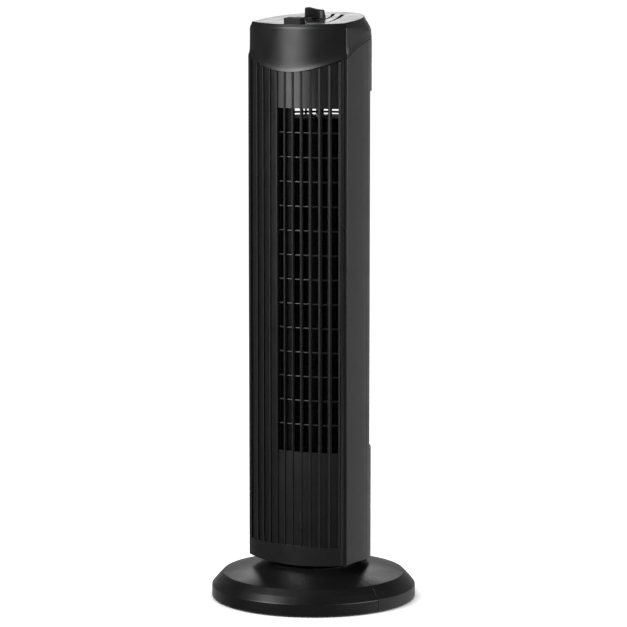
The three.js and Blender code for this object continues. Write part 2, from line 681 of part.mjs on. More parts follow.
function grommet() {
  const middle = COLUMN_REAR - WALL / 2;
  const bush = lyingBar('y', GROMMET_RADIUS, middle - WALL / 2 - 3, COLUMN_REAR - 0.3, 0, GROMMET_Z);
  const collarRear = COLUMN_REAR - WALL - 1.6;
  const collar = lyingBar('y', GROMMET_RADIUS + 2, middle - WALL / 2 - 3, collarRear, 0, GROMMET_Z);
  return cut(joined(bush, collar), lyingBar('y', GROMMET_BORE, 0, FAR, 0, GROMMET_Z));
}

function rearGrille() {
  const bottom = INLET_BOTTOM + SEAM_GAP;
  const top = INLET_TOP - SEAM_GAP;
  let body = columnTube(INLET_INSET, INLET_WALL, bottom, top);
  body = cut(body, block(-FAR, FAR, -FAR, INLET_EDGE_Y + SEAM_GAP, 0, FAR * 3));
  const ribs = (SLOT_COLUMN_COUNT - 1) * SLOT_COLUMN_RIB;
  const slotWidth = (2 * SLOTS_HALF_WIDTH - ribs) / SLOT_COLUMN_COUNT;
  const rows = Math.floor((top - bottom - SLOT_BAR) / SLOT_PITCH);
  const firstSlot = (top + bottom) / 2 - (rows * SLOT_PITCH - SLOT_BAR) / 2;
  for (let row = 0; row < rows; row += 1) {
    const z = firstSlot + row * SLOT_PITCH;
    for (let column = 0; column < SLOT_COLUMN_COUNT; column += 1) {
      const x = column * (slotWidth + SLOT_COLUMN_RIB) - SLOTS_HALF_WIDTH;
      body = cut(body, block(x, x + slotWidth, INLET_EDGE_Y + 2, FAR, z, z + SLOT_PITCH - SLOT_BAR));
    }
  }
  return body;
}

function frontGrille() {
  const edge = LIP_X - SEAM_GAP;
  const openLeft = FIRST_FIN_X + FIRST_OPEN_FIN * FIN_STEP;
  const openRight = LAST_FIN_X;
  let body = frontStrip(-edge, edge, PANEL_RECESS, GRILLE_DEPTH, 40, CAP_SEAM_TOP);
  body = cut(body, block(openLeft, openRight, -FAR, 0, OUTLET_BOTTOM, OUTLET_TOP));
  for (let i = 0; i < BAR_COUNT; i += 1) {
    const z = OUTLET_TOP - TOP_BAR_DROP - i * BAR_STEP;
    const halfBar = BAR_HEIGHT / 2;
    body = joined(body, frontStrip(openLeft, openRight, BAR_RECESS, GRILLE_DEPTH, z - halfBar, z + halfBar));
  }
  for (let i = 0; i < FIN_COUNT; i += 1) {
    const x = FIRST_FIN_X + i * FIN_STEP;
    body = joined(body, frontStrip(x - FIN_WIDTH / 2, x + FIN_WIDTH / 2, 0, GRILLE_DEPTH, 60, CAP_SEAM_TOP));
  }
  body = joined(
    body,
    frontStrip(-edge, LEFT_STRIP_X, 0, GRILLE_DEPTH, 40, CAP_SEAM_TOP),
    frontStrip(RIGHT_STRIP_X, edge, 0, GRILLE_DEPTH, 40, CAP_SEAM_TOP),
    frontStrip(-edge, edge, 0, GRILLE_DEPTH, 40, GRILLE_BAND_TOP),
  );
  return aboveBottomArch(underCapSeam(body));
}

function buildHousing() {
  node('front_shell', frontShell(), 'shell');
  node('rear_shell', rearShell(), 'shell');
  node('rear_grille', rearGrille(), 'shell');
  node('front_grille', frontGrille(), 'shell');
  node('cord_grommet', grommet(), 'rubber');
  eachHousingScrew((index, x, z) => {
    const headFront = screwSeatY + FIT;
    const headRear = headFront + SCREW_HEAD_HEIGHT;
    const head = lyingBar('y', SCREW_HEAD_RADIUS, headFront, headRear, x, z, SCREW_STEPS);
    const shank = lyingBar('y', SCREW_SHANK_RADIUS, screwTipY, headFront + MELD, x, z, SCREW_STEPS);
    node(`housing_screw_${index}`, joined(head, shank), 'steel');
  });
}

// ---------------------------------------------------------------- cap and controls

const panelZ = (y) => PANEL_FRONT_Z + PANEL_SLOPE * (y - COLUMN_FRONT - PANEL_LEDGE);
const panelTilt = Math.atan(PANEL_SLOPE);

function loopAt(points, heightAt) {
  return points.map(([x, y]) => [x, y, heightAt(y)]);
}

function topCap() {
  const seatDepth = PANEL_THICKNESS + FIT;
  const onPanel = (drop) => (y) => panelZ(y) - drop;
  return skin([
    loopAt(outline(columnPlan), capSeamZ),
    loopAt(outline(columnPlan, CAP_LEAN), () => CAP_WALL_TOP),
    loopAt(outline(panelPlan), onPanel(0)),
    loopAt(outline(panelPlan), onPanel(seatDepth)),
    loopAt(outline(panelPlan, SEAT_WIDTH), onPanel(seatDepth)),
    loopAt(outline(panelPlan, SEAT_WIDTH), onPanel(seatDepth + SEAT_THICKNESS)),
    loopAt(outline(columnPlan, CAP_LEAN + WALL + 1), () => CAP_WALL_TOP - 2.4),
    loopAt(outline(columnPlan, WALL), capSeamZ),
  ]);
}

// Leans a level slab so that it follows the slope of the control panel.
function leaned(body) {
  const geometry = geometryOf(body);
  const shear = new THREE.Matrix4().set(1, 0, 0, 0, 0, 1, 0, 0, 0, PANEL_SLOPE, 1, panelZ(0), 0, 0, 0, 1);
  return solid(geometry.applyMatrix4(shear));
}

function controlPanel() {
  const slab = prism(vectors(outline(panelPlan, SEAM_GAP)), -PANEL_THICKNESS, 0);
  const shaftHole = disc(SWITCH_SHAFT_RADIUS + 1.6, -PANEL_THICKNESS - 1, 1, KNOB_X, KNOB_Y);
  const halfWidth = BUTTON_WIDTH / 2 + RUNNING_FIT;
  const halfDepth = BUTTON_DEPTH / 2 + RUNNING_FIT;
  const window = block(
    BUTTON_X - halfWidth, BUTTON_X + halfWidth,
    BUTTON_Y - halfDepth, BUTTON_Y + halfDepth,
    -PANEL_THICKNESS - 1, 1,
  );
  return leaned(cut(slab, shaftHole, window));
}

// A group whose own +Z is square to the control panel, with its origin on the panel's face.
function onPanelFace(x, y) {
  const group = new THREE.Group();
  group.position.set(x, y, panelZ(y));
  group.rotation.x = panelTilt;
  fan.add(group);
  return group;
}

function knobBody() {
  const skirt = turned([
    [0, KNOB_LIFT],
    [KNOB_SKIRT_RADIUS, KNOB_LIFT],
    [KNOB_SKIRT_RADIUS, KNOB_LIFT + 1.4],
    [KNOB_SKIRT_RADIUS - 1.4, KNOB_SKIRT_HEIGHT],
    [0, KNOB_SKIRT_HEIGHT + 0.6],
  ], 0, 0, WIDE_STEPS);
  const half = KNOB_GRIP_LENGTH / 2;
  const grip = new THREE.Shape();
  grip.moveTo(-half, -KNOB_GRIP_WIDTH / 2 + 1);
  grip.quadraticCurveTo(0, -KNOB_GRIP_WIDTH / 2 + 2.6, half, -KNOB_GRIP_WIDTH / 2);
  grip.quadraticCurveTo(half + 1.6, 0, half, KNOB_GRIP_WIDTH / 2);
  grip.quadraticCurveTo(0, KNOB_GRIP_WIDTH / 2 - 2.6, -half, KNOB_GRIP_WIDTH / 2 - 1);
  grip.quadraticCurveTo(-half - 1.2, 0, -half, -KNOB_GRIP_WIDTH / 2 + 1);
  const bar = prism(grip.getPoints(6), KNOB_LIFT + 0.4, KNOB_HEIGHT).rotate([0, 0, KNOB_GRIP_ANGLE]);
  const bore = disc(SWITCH_SHAFT_RADIUS + 0.1, KNOB_LIFT - 1, SWITCH_SHAFT_TOP + FIT);
  return cut(joined(skirt, bar), bore);
}

function buildControls() {
  node('top_cap', topCap(), 'shell');
  node('control_panel', controlPanel(), 'panel');

  const knobPlace = onPanelFace(KNOB_X, KNOB_Y);
  node('speed_knob', knobBody(), 'shell', knobPlace);
  const canBottom = SPEED_SWITCH_TOP - SPEED_SWITCH_HEIGHT;
  const shaftBottom = canBottom + 3;
  node('switch_shaft', disc(SWITCH_SHAFT_RADIUS, shaftBottom, SWITCH_SHAFT_TOP), 'brass', knobPlace);
  const can = joined(
    centredBlock(SPEED_SWITCH_SIZE, SPEED_SWITCH_SIZE, canBottom, SPEED_SWITCH_TOP),
    disc(9, canBottom - 3, canBottom + MELD),
  );
  const shaftBore = disc(SWITCH_SHAFT_RADIUS + RUNNING_FIT, shaftBottom - FIT, 1);
  node('speed_switch', cut(can, shaftBore), 'innerPlastic', knobPlace);

  const buttonPlace = onPanelFace(BUTTON_X, BUTTON_Y);
  const stemBottom = -BUTTON_REST_DEPTH - STEM_LENGTH;
  const button = joined(
    centredBlock(BUTTON_WIDTH, BUTTON_DEPTH, -BUTTON_REST_DEPTH, BUTTON_HEIGHT),
    centredBlock(2 * STEM_HALF, 2 * STEM_HALF, stemBottom, MELD - BUTTON_REST_DEPTH),
  );
  node('swing_button', button, 'shell', buttonPlace);
  const switchTop = -BUTTON_REST_DEPTH - BUTTON_TRAVEL - FIT;
  const switchBottom = switchTop - SWING_SWITCH_HEIGHT;
  const body = centredBlock(SWING_SWITCH_WIDTH, SWING_SWITCH_DEPTH, switchBottom, switchTop);
  const wellSize = 2 * (STEM_HALF + FIT);
  const well = centredBlock(wellSize, wellSize, stemBottom - BUTTON_TRAVEL - FIT, 1);
  node('swing_switch', cut(body, well), 'innerPlastic', buttonPlace);
}

// ---------------------------------------------------------------- blower and duct

const onWheel = (radius, degrees) => new THREE.Vector2(
  WHEEL_X + radius * Math.cos(radians(degrees)),
  WHEEL_Y + radius * Math.sin(radians(degrees)),
);
const ductBottom = LOWER_DECK_TOP + FIT;
const ductTop = UPPER_DECK_BOTTOM - FIT;
const ARC_STEPS = 8;

function scrollWall() {
  const faces = [0, DUCT_WALL].map((offset) => {
    const points = [];
    for (let i = 0; i <= ARC_STEPS; i += 1) {
      const share = i / ARC_STEPS;
      const radius = WHEEL_RADIUS + DUCT_CLEARANCE + SCROLL_GROWTH * share + offset;
      points.push(onWheel(radius, SCROLL_START + (SCROLL_END - SCROLL_START) * share));
    }
    const exitX = OUTLET_RIGHT_X + offset;
    points.push(new THREE.Vector2(exitX, frontY(exitX, GRILLE_DEPTH + 2 * FIT)));
    return points;
  });
  return prism([...faces[0], ...faces[1].reverse()], ductBottom, ductTop);
}

function vortexWall() {
  const near = WHEEL_RADIUS + DUCT_CLEARANCE;
  const inner = [];
  const outer = [];
  for (let i = 0; i <= ARC_STEPS; i += 1) {
    const degrees = VORTEX_END + (VORTEX_TIP - VORTEX_END) * i / ARC_STEPS;
    inner.push(onWheel(near, degrees));
    outer.push(onWheel(near + DUCT_WALL, degrees));
  }
  const tip = outer[ARC_STEPS];
  const bendX = tip.x - 6;
  const exitX = bendX - 1.5;
  const exitY = frontY(exitX, GRILLE_DEPTH + 2 * FIT);
  const lip = [
    new THREE.Vector2(bendX, tip.y - 0.6),
    new THREE.Vector2(exitX, exitY),
    new THREE.Vector2(exitX - DUCT_WALL, exitY),
    new THREE.Vector2(bendX - DUCT_WALL, tip.y - 0.6),
  ];
  const back = outer.slice(0, ARC_STEPS - 1).reverse();
  return prism([...inner, tip, ...lip, ...back], ductBottom, ductTop);
}

function innerDeck(bottom, cuts) {
  const deck = columnSlice(WALL + FIT, bottom, bottom + INNER_DECK_THICKNESS);
  const frontClear = block(-FAR, FAR, -FAR, frontY(0, GRILLE_DEPTH + WALL + 1.5), 0, FAR * 3);
  return cut(deck.intersect(columnSlice(GRILLE_DEPTH + WALL + 1.5, 0, FAR * 2)), frontClear, ...cuts);
}

function wheel() {
  const mid = WHEEL_RADIUS - BLADE_CHORD / 2 * Math.cos(radians(BLADE_TILT)) - 1.2;
  const discs = [];
  for (let i = 0; i < DISC_COUNT; i += 1) {
    const z = WHEEL_BOTTOM + (WHEEL_TOP - WHEEL_BOTTOM - DISC_THICKNESS) * i / (DISC_COUNT - 1);
    const isEnd = i === 0 || i === DISC_COUNT - 1;
    const inner = isEnd ? HUB_RADIUS + FIT / 2 : WHEEL_RADIUS - BLADE_CHORD - 2;
    discs.push(ring(inner, WHEEL_RADIUS, z, z + DISC_THICKNESS, WHEEL_X, WHEEL_Y, BLADE_COUNT * 2));
  }
  let body = joined(...discs);
  for (let i = 0; i < BLADE_COUNT; i += 1) {
    const blade = block(
      -BLADE_CHORD / 2, BLADE_CHORD / 2,
      -BLADE_THICKNESS / 2, BLADE_THICKNESS / 2,
      WHEEL_BOTTOM + DISC_THICKNESS / 2, WHEEL_TOP - DISC_THICKNESS / 2,
    );
    const turn = 360 * i / BLADE_COUNT;
    const placed = blade.rotate([0, 0, BLADE_TILT]).translate([mid, 0, 0]).rotate([0, 0, turn]);
    body = joined(body, placed.translate([WHEEL_X, WHEEL_Y, 0]));
  }
  return body;
}

function buildBlower() {
  node('blower_wheel', wheel(), 'innerPlastic');
  const hubTop = WHEEL_BOTTOM + 12;
  const discTop = WHEEL_BOTTOM + DISC_THICKNESS;
  const lowerHub = joined(
    disc(HUB_RADIUS, WHEEL_BOTTOM - 4, hubTop, WHEEL_X, WHEEL_Y),
    disc(HUB_RADIUS + 4, discTop + FIT, discTop + 3, WHEEL_X, WHEEL_Y),
  );
  const shaftBore = disc(MOTOR_SHAFT_RADIUS + 0.1, 0, hubTop - 2, WHEEL_X, WHEEL_Y);
  node('wheel_hub', cut(lowerHub, shaftBore), 'rubber');
  const discBottom = WHEEL_TOP - DISC_THICKNESS;
  const pinTop = UPPER_DECK_BOTTOM + INNER_DECK_THICKNESS + 2;
  const topPin = joined(
    disc(HUB_RADIUS, discBottom, WHEEL_TOP + 2, WHEEL_X, WHEEL_Y),
    disc(HUB_RADIUS + 4, discBottom - 3, discBottom - FIT, WHEEL_X, WHEEL_Y),
    disc(HUB_RADIUS, discBottom - 1, discBottom + 1, WHEEL_X, WHEEL_Y),
    disc(TOP_PIN_RADIUS, WHEEL_TOP, pinTop, WHEEL_X, WHEEL_Y),
  );
  node('wheel_top_pin', topPin, 'steel');
  node('scroll_wall', scrollWall(), 'innerPlastic');
  node('vortex_wall', vortexWall(), 'innerPlastic');

  const bearingBore = disc(BEARING_RUBBER_RADIUS + FIT, 0, FAR * 2, WHEEL_X, WHEEL_Y);
  node('upper_deck', innerDeck(UPPER_DECK_BOTTOM, [bearingBore]), 'innerPlastic');
  const deckTop = UPPER_DECK_BOTTOM + INNER_DECK_THICKNESS;
  const cushion = joined(
    ring(BEARING_RADIUS + FIT, BEARING_RUBBER_RADIUS, UPPER_DECK_BOTTOM - 2, deckTop + 2, WHEEL_X, WHEEL_Y),
    ring(BEARING_RADIUS + FIT, BEARING_RUBBER_RADIUS + 3, deckTop + FIT, deckTop + 2, WHEEL_X, WHEEL_Y),
  );
  node('bearing_cushion', cushion, 'rubber');
  const bushBore = TOP_PIN_RADIUS + RUNNING_FIT / 2;
  const bush = ring(bushBore, BEARING_RADIUS, UPPER_DECK_BOTTOM - 1, deckTop + 1, WHEEL_X, WHEEL_Y);
  node('top_bearing', bush, 'brass');
}

// ---------------------------------------------------------------- blower motor

function buildMotor() {
  const deckBottom = LOWER_DECK_TOP - INNER_DECK_THICKNESS;
  const middle = (MOTOR_BOTTOM + MOTOR_TOP) / 2;
  const statorBottom = middle - STATOR_HEIGHT / 2;
  const statorTop = middle + STATOR_HEIGHT / 2;
  const coverWall = 1.6;
  const endCover = (flat, open) => {
    const inward = Math.sign(open - flat);
    return turned([
      [BUSH_RADIUS + FIT, flat],
      [MOTOR_RADIUS - 6, flat],
      [MOTOR_RADIUS, flat + 6 * inward],
      [MOTOR_RADIUS, open - FIT * inward],
      [MOTOR_RADIUS - coverWall, open - FIT * inward],
      [MOTOR_RADIUS - coverWall, flat + 6.7 * inward],
      [MOTOR_RADIUS - 6.7, flat + coverWall * inward],
      [BUSH_RADIUS + FIT, flat + coverWall * inward],
    ], WHEEL_X, WHEEL_Y, WIDE_STEPS);
  };
  node('motor_lower_cover', endCover(MOTOR_BOTTOM, statorBottom), 'steel');
  node('motor_upper_cover', endCover(MOTOR_TOP, statorTop), 'steel');
  const stator = ring(ROTOR_RADIUS + 1, STATOR_RADIUS, statorBottom, statorTop, WHEEL_X, WHEEL_Y, WIDE_STEPS);
  node('motor_stator', stator, 'laminations');
  const rotorBore = MOTOR_SHAFT_RADIUS + 0.1;
  const rotor = ring(rotorBore, ROTOR_RADIUS, statorBottom - 2, statorTop + 2, WHEEL_X, WHEEL_Y);
  node('motor_rotor', rotor, 'laminations');
  const shaft = disc(MOTOR_SHAFT_RADIUS, MOTOR_BOTTOM - 4, WHEEL_BOTTOM + 9, WHEEL_X, WHEEL_Y);
  node('motor_shaft', shaft, 'steel');
  [['motor_lower_bush', MOTOR_BOTTOM], ['motor_upper_bush', MOTOR_TOP]].forEach(([name, z]) => {
    const bush = ring(MOTOR_SHAFT_RADIUS + RUNNING_FIT / 2, BUSH_RADIUS, z - 3.5, z + 3.5, WHEEL_X, WHEEL_Y);
    node(name, bush, 'brass');
  });

  const shaftHole = disc(BUSH_RADIUS + 3, 0, FAR, WHEEL_X, WHEEL_Y);
  const cradleTop = deckBottom - FIT;
  const onMotor = [WHEEL_X, WHEEL_Y, WIDE_STEPS];
  const strap = ring(STATOR_RADIUS - 4, MOTOR_SCREW_CIRCLE + 4, cradleTop - 2.5, cradleTop, ...onMotor);
  const collar = ring(STATOR_RADIUS + FIT, STATOR_RADIUS + FIT + 2, statorBottom + 4, cradleTop, ...onMotor);
  const screwHoles = [];
  const deckPilots = [];
  around(MOTOR_SCREW_COUNT, MOTOR_SCREW_CIRCLE, 30, (_, x, y) => {
    const place = [WHEEL_X + x, WHEEL_Y + y, SCREW_STEPS];
    screwHoles.push(disc(SCREW_SHANK_RADIUS + FIT, cradleTop - 4, cradleTop + 1, ...place));
    deckPilots.push(disc(SCREW_SHANK_RADIUS + 0.1, deckBottom - 1, LOWER_DECK_TOP + 1, ...place));
  });
  const inside = columnSlice(WALL + FIT, 0, FAR);
  node('motor_cradle', cut(joined(strap, collar).intersect(inside), ...screwHoles), 'steel');
  around(MOTOR_SCREW_COUNT, MOTOR_SCREW_CIRCLE, 30, (i, x, y) => {
    const headFace = cradleTop - 2.5 - SCREW_HEAD_HEIGHT - FIT;
    node(`motor_screw_${i}`, uprightScrew(WHEEL_X + x, WHEEL_Y + y, headFace, 5.2), 'steel');
  });
  node('lower_deck', innerDeck(deckBottom, [shaftHole, ...deckPilots]), 'innerPlastic');
  const capacitorRight = CAPACITOR_WIDTH + CAPACITOR_MARGIN - COLUMN_HALF_WIDTH;
  const capacitorLeft = CAPACITOR_MARGIN - COLUMN_HALF_WIDTH;
  const capacitorBottom = plateTop + 6;
  const capacitorTop = capacitorBottom + CAPACITOR_HEIGHT;
  const can = block(capacitorLeft, capacitorRight, -22, 16, capacitorBottom, capacitorTop);
  node('capacitor', can, 'capacitor');
}

buildBase();
buildNeck();
buildSwingDrive();
buildHousing();
buildControls();
buildBlower();
buildMotor();

export default fan;
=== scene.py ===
import json
from collections import namedtuple
from math import acos, asin, atan, atan2, cos, degrees, hypot, pi, radians, sin, sqrt, tan, tau

import bmesh
import bpy
from mathutils import Matrix, Vector


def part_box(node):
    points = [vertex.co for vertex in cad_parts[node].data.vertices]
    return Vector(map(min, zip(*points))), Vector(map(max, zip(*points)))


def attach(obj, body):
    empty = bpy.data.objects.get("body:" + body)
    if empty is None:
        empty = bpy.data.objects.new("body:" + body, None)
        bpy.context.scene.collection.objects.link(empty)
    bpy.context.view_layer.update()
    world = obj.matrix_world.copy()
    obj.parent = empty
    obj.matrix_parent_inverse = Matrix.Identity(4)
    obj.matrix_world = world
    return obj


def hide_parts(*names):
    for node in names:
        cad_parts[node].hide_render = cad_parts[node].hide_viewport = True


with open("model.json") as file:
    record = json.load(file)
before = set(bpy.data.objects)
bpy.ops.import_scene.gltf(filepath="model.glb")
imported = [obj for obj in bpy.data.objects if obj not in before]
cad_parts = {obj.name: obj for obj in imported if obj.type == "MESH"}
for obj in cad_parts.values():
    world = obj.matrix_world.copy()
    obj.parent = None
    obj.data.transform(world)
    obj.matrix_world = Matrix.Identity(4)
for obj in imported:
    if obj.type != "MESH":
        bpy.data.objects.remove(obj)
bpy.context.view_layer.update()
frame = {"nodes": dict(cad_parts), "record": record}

# -------------------- sizes, in millimetres

MM = 0.001
SEAM_GAP = 0.5
FIT = 0.3

BASE_RADIUS = 123.5
BASE_WALL = 2.6
RIM_HEIGHT = 15.2
RIDGE_RADIUS = 110.0
RIDGE_Z = 30.7
NECK_HOLE_RADIUS = 52.0
DOME_RISE = 13.3
BASE_SPLIT_ANGLE = -20.5
FLANGE_Z = 3.1
FLANGE_THICKNESS = 2.5
FLANGE_WIDTH = 19.0
FOOT_COUNT = 6
BASE_SCREW_COUNT = 4
BASE_SCREW_CIRCLE = 62.0

PIVOT_HOLE_RADIUS = 7.2
NECK_INNER_RADIUS = 46.5
NECK_RADIUS = 50.0
NECK_FLANGE_RADIUS = 70.0
NECK_DECK_BOTTOM = 36.5
NECK_DECK_TOP = 39.5
NECK_TOP = 46.2
SLIP_RING_RADIUS = 49.5
SLIP_RING_BOTTOM = 46.5
SLIP_RING_TOP = 47.5
CRANK_OFFSET = 25.0
SWING_LIMIT = 32.5
CRANK_SLOT_HALF_WIDTH = 3.5

WALL = 2.4
SPLIT_Y = 9.0
FRONT_RADIUS = 125.0
SIDE_FRONT_REACH = 137.0
Plan = namedtuple("Plan", "half_width front rear widest_y")
COLUMN = Plan(half_width=70.2, front=-58.0, rear=74.5, widest_y=-8.0)
PANEL = Plan(half_width=64.5, front=-54.0, rear=61.0, widest_y=-14.0)
CORNER_RADIUS = 1.5

COLUMN_BOTTOM = 51.6
REAR_BOTTOM = 48.0
CAP_SEAM_TOP = 676.5
CAP_WALL_TOP = 690.0
CAP_LEAN = 2.0
CAP_FLARE_Y = -34.0
# Front inset, side inset and height above the seam of each ring of the cap's flared wall.
CAP_FLARE = [
    (0.1, 0.05, 1.1),
    (0.6, 0.2, 2.4),
    (1.1, 0.45, 4.1),
    (1.45, 0.7, 6.4),
    (1.65, 0.95, 9.5),
    (1.72, 1.1, 12.0),
]

LIP_X = 65.8
FIN_COUNT = 11
FIN_STEP = 11.1
FIRST_FIN_X = -50.5
FIRST_OPEN_FIN = 3
PANEL_RECESS = 1.8
BAR_RECESS = 3.3
GRILLE_DEPTH = 5.3
FIN_HALF_WIDTH = 1.0
FIN_NOSE = 0.75
FIN_TOP_GAP = 0.6
PANEL_TOP_GAP = 0.9
OUTLET_BOTTOM = 186.5
OUTLET_TOP = 596.0
BAR_COUNT = 13
BAR_STEP = 29.0
BAR_HALF_HEIGHT = 1.15
BAR_NOSE = 0.9
TOP_BAR_DROP = 28.8
GRILLE_BAND_TOP = 72.0
LEFT_STRIP_X = -63.5
RIGHT_STRIP_X = 62.6
BACKING_HALF_WIDTH = 67.6
BACKING_GAP = 1.2
LOWER_BACKING = (56.9, 176.7)
UPPER_BACKING_BOTTOM = 603.3

INLET_BOTTOM = 183.0
INLET_TOP = 614.0
INLET_EDGE_Y = 22.0
INLET_INSET = 1.8
INLET_WALL = 2.2
SLOT_PITCH = 6.0
SLOT_HEIGHT = 3.4
SLOT_COLUMNS = [(-55.0, -20.33), (-17.33, 17.33), (20.33, 55.0)]
GRILLE_RIB_XS = (-42.0, -31.0, 31.0, 42.0)

KNOB_X, KNOB_Y = -1.5, 6.0
KNOB_HOLE_RADIUS = 4.6
GRIP_ANGLE = -20.0
GRIP_SLOPE = 0.08
BUTTON_X, BUTTON_Y = 1.5, -45.7
BUTTON_HOLE_HALF_LENGTH = 11.75
BUTTON_HOLE_HALF_WIDTH = 6.5
PANEL_FRONT_Z = 694.3
PANEL_SLOPE = 0.1026
# Three points of each groove's curve, and its width at the front and at the rear.
GROOVES = [
    ([(38.5, -36), (33.0, -3), (18.0, 38)], (1.4, 5.4)),
    ([(21.0, -14), (15.5, 12), (3.0, 42)], (1.4, 4.8)),
    ([(-37.7, -31), (-32.0, 0), (-20.0, 36)], (0.8, 2.4)),
]
GROOVE_DEPTH = 0.9

WHEEL_X, WHEEL_Y = 5.0, 10.0
WHEEL_RADIUS = 46.0
WHEEL_BOTTOM = 187.0
WHEEL_TOP = 583.0
DISC_COUNT = 9
DISC_THICKNESS = 1.6
DISC_WIDTH = 12.5
END_DISC_HOLE_RADIUS = 11.2
BLADE_COUNT = 36
BLADE_WIDTH = 9.9
BLADE_THICKNESS = 0.9
BLADE_SWEEP = 13.0
LOWER_DECK_TOP = 180.0
UPPER_DECK_BOTTOM = 600.0
DUCT_GAP = 3.0
DUCT_WALL = 2.0
SCROLL_EXIT_X = 61.0

HOUSING_SCREWS = [(side * 57.0, z) for z in (110.0, 645.0) for side in (-1, 1)]
BOSS_RADIUS = 4.4
BOSS_HOLE_RADIUS = 1.6
BOSS_LENGTH = 11.7
BOSS_HOLE_DEPTH = 10.7
BOSS_RIB_HALF_HEIGHT = 1.2
SIDE_WALL_X = 67.9
SCREW_HEAD_HOLE_RADIUS = 3.5
SCREW_HOLE_RADIUS = 1.8
SCREW_HEAD_SEAT = 3.3
GROMMET_Z = 78.0
GROMMET_HOLE_RADIUS = 7.3
GROMMET_REAR_Y = 69.1

# -------------------- studio, in metres, watts and degrees

FLOOR_HALF_SIZE = 60.0
LIGHT_AIM = Vector((0, 0, 0.42))
# Azimuth, distance, elevation, size and power of each light.
LIGHTS = {
    "key": (26.0, 1.7, 14.0, (0.75, 1.3), 13.0),
    "upper": (28.0, 1.9, 34.0, (0.8, 0.35), 16.0),
    "right": (-88.0, 2.2, 8.0, (1.5, 1.3), 26.0),
    "behind": (149.0, 2.2, 18.0, (1.3, 0.6), 4.4),
    "overhead": (40.0, 2.2, 80.0, (1.2, 1.2), 1.6),
}
CAMERA_PLACE = (1.856, -3.089, 0.819)
CAMERA_PITCH = 7.48
CAMERA_AZIMUTH = 31.0
CAMERA_LENS = 173.3


# -------------------- materials

CLOUD_SCALE = 9.0
SMUDGE_SCALE = 38.0
BUMP_STRENGTH = 0.35


def link(tree, source, target):
    tree.links.new(source, target)


def set_inputs(node, values):
    for socket, value in values.items():
        node.inputs[socket].default_value = value


def ramp(tree, source, low, high, out_low, out_high):
    """A value from one range carried over to another, as a socket."""
    node = tree.nodes.new("ShaderNodeMapRange")
    set_inputs(node, {"From Min": low, "From Max": high, "To Min": out_low, "To Max": out_high})
    link(tree, source, node.inputs["Value"])
    return node.outputs["Result"]


def noise(tree, where, scale, detail, rough=0.55):
    node = tree.nodes.new("ShaderNodeTexNoise")
    set_inputs(node, {"Scale": scale, "Detail": detail, "Roughness": rough})
    link(tree, where, node.inputs["Vector"])
    return node.outputs["Fac"]


def mixed(tree, factor, dark, light):
    node = tree.nodes.new("ShaderNodeMix")
    node.data_type = "RGBA"
    set_inputs(node, {"A": (*dark, 1.0), "B": (*light, 1.0)})
    link(tree, factor, node.inputs["Factor"])
    return node.outputs["Result"]


def surface(name, dark, light, roughness, grain, depth, metal=0.0, stretch=(1, 1, 1), edge_wear_and_highlight=0.0,
            specular=0.5):
    """A moulded or metal surface: clouded colour, uneven gloss, a fine grain, and lighter edges that are
    partly worn and partly a painted highlight.
    """
    material = bpy.data.materials.new(name)
    material.use_nodes = True
    tree = material.node_tree
    shader = tree.nodes["Principled BSDF"]
    set_inputs(shader, {"Metallic": metal, "Specular IOR Level": specular})
    place = tree.nodes.new("ShaderNodeTexCoord")
    mapping = tree.nodes.new("ShaderNodeMapping")
    mapping.inputs["Scale"].default_value = stretch
    link(tree, place.outputs["Object"], mapping.inputs["Vector"])
    where = mapping.outputs["Vector"]

    cloud = noise(tree, where, CLOUD_SCALE, 4.0)
    colour = mixed(tree, ramp(tree, cloud, 0.3, 0.7, 0.0, 1.0), dark, light)
    smudge = noise(tree, where, SMUDGE_SCALE, 5.0)
    rough = ramp(tree, smudge, 0.3, 0.7, roughness[0], roughness[1])
    # Edges lightened by pointiness: partly wear, partly a painted highlight line where crisp edges catch the
    # light.
    if edge_wear_and_highlight:
        geometry = tree.nodes.new("ShaderNodeNewGeometry")
        edge = ramp(tree, geometry.outputs["Pointiness"], 0.53, 0.62, 0.0, edge_wear_and_highlight)
        worn_and_highlit = tree.nodes.new("ShaderNodeMix")
        worn_and_highlit.data_type = "RGBA"
        worn_and_highlit.inputs["B"].default_value = (*[min(1.0, 2.2 * c + 0.02) for c in light], 1.0)
        link(tree, edge, worn_and_highlit.inputs["Factor"])
        link(tree, colour, worn_and_highlit.inputs["A"])
        colour = worn_and_highlit.outputs["Result"]
    link(tree, colour, shader.inputs["Base Color"])
    link(tree, rough, shader.inputs["Roughness"])

    bump = tree.nodes.new("ShaderNodeBump")
    set_inputs(bump, {"Strength": BUMP_STRENGTH, "Distance": depth * MM})
    link(tree, noise(tree, where, grain, 2.0, 0.6), bump.inputs["Height"])
    link(tree, bump.outputs["Normal"], shader.inputs["Normal"])
    return material
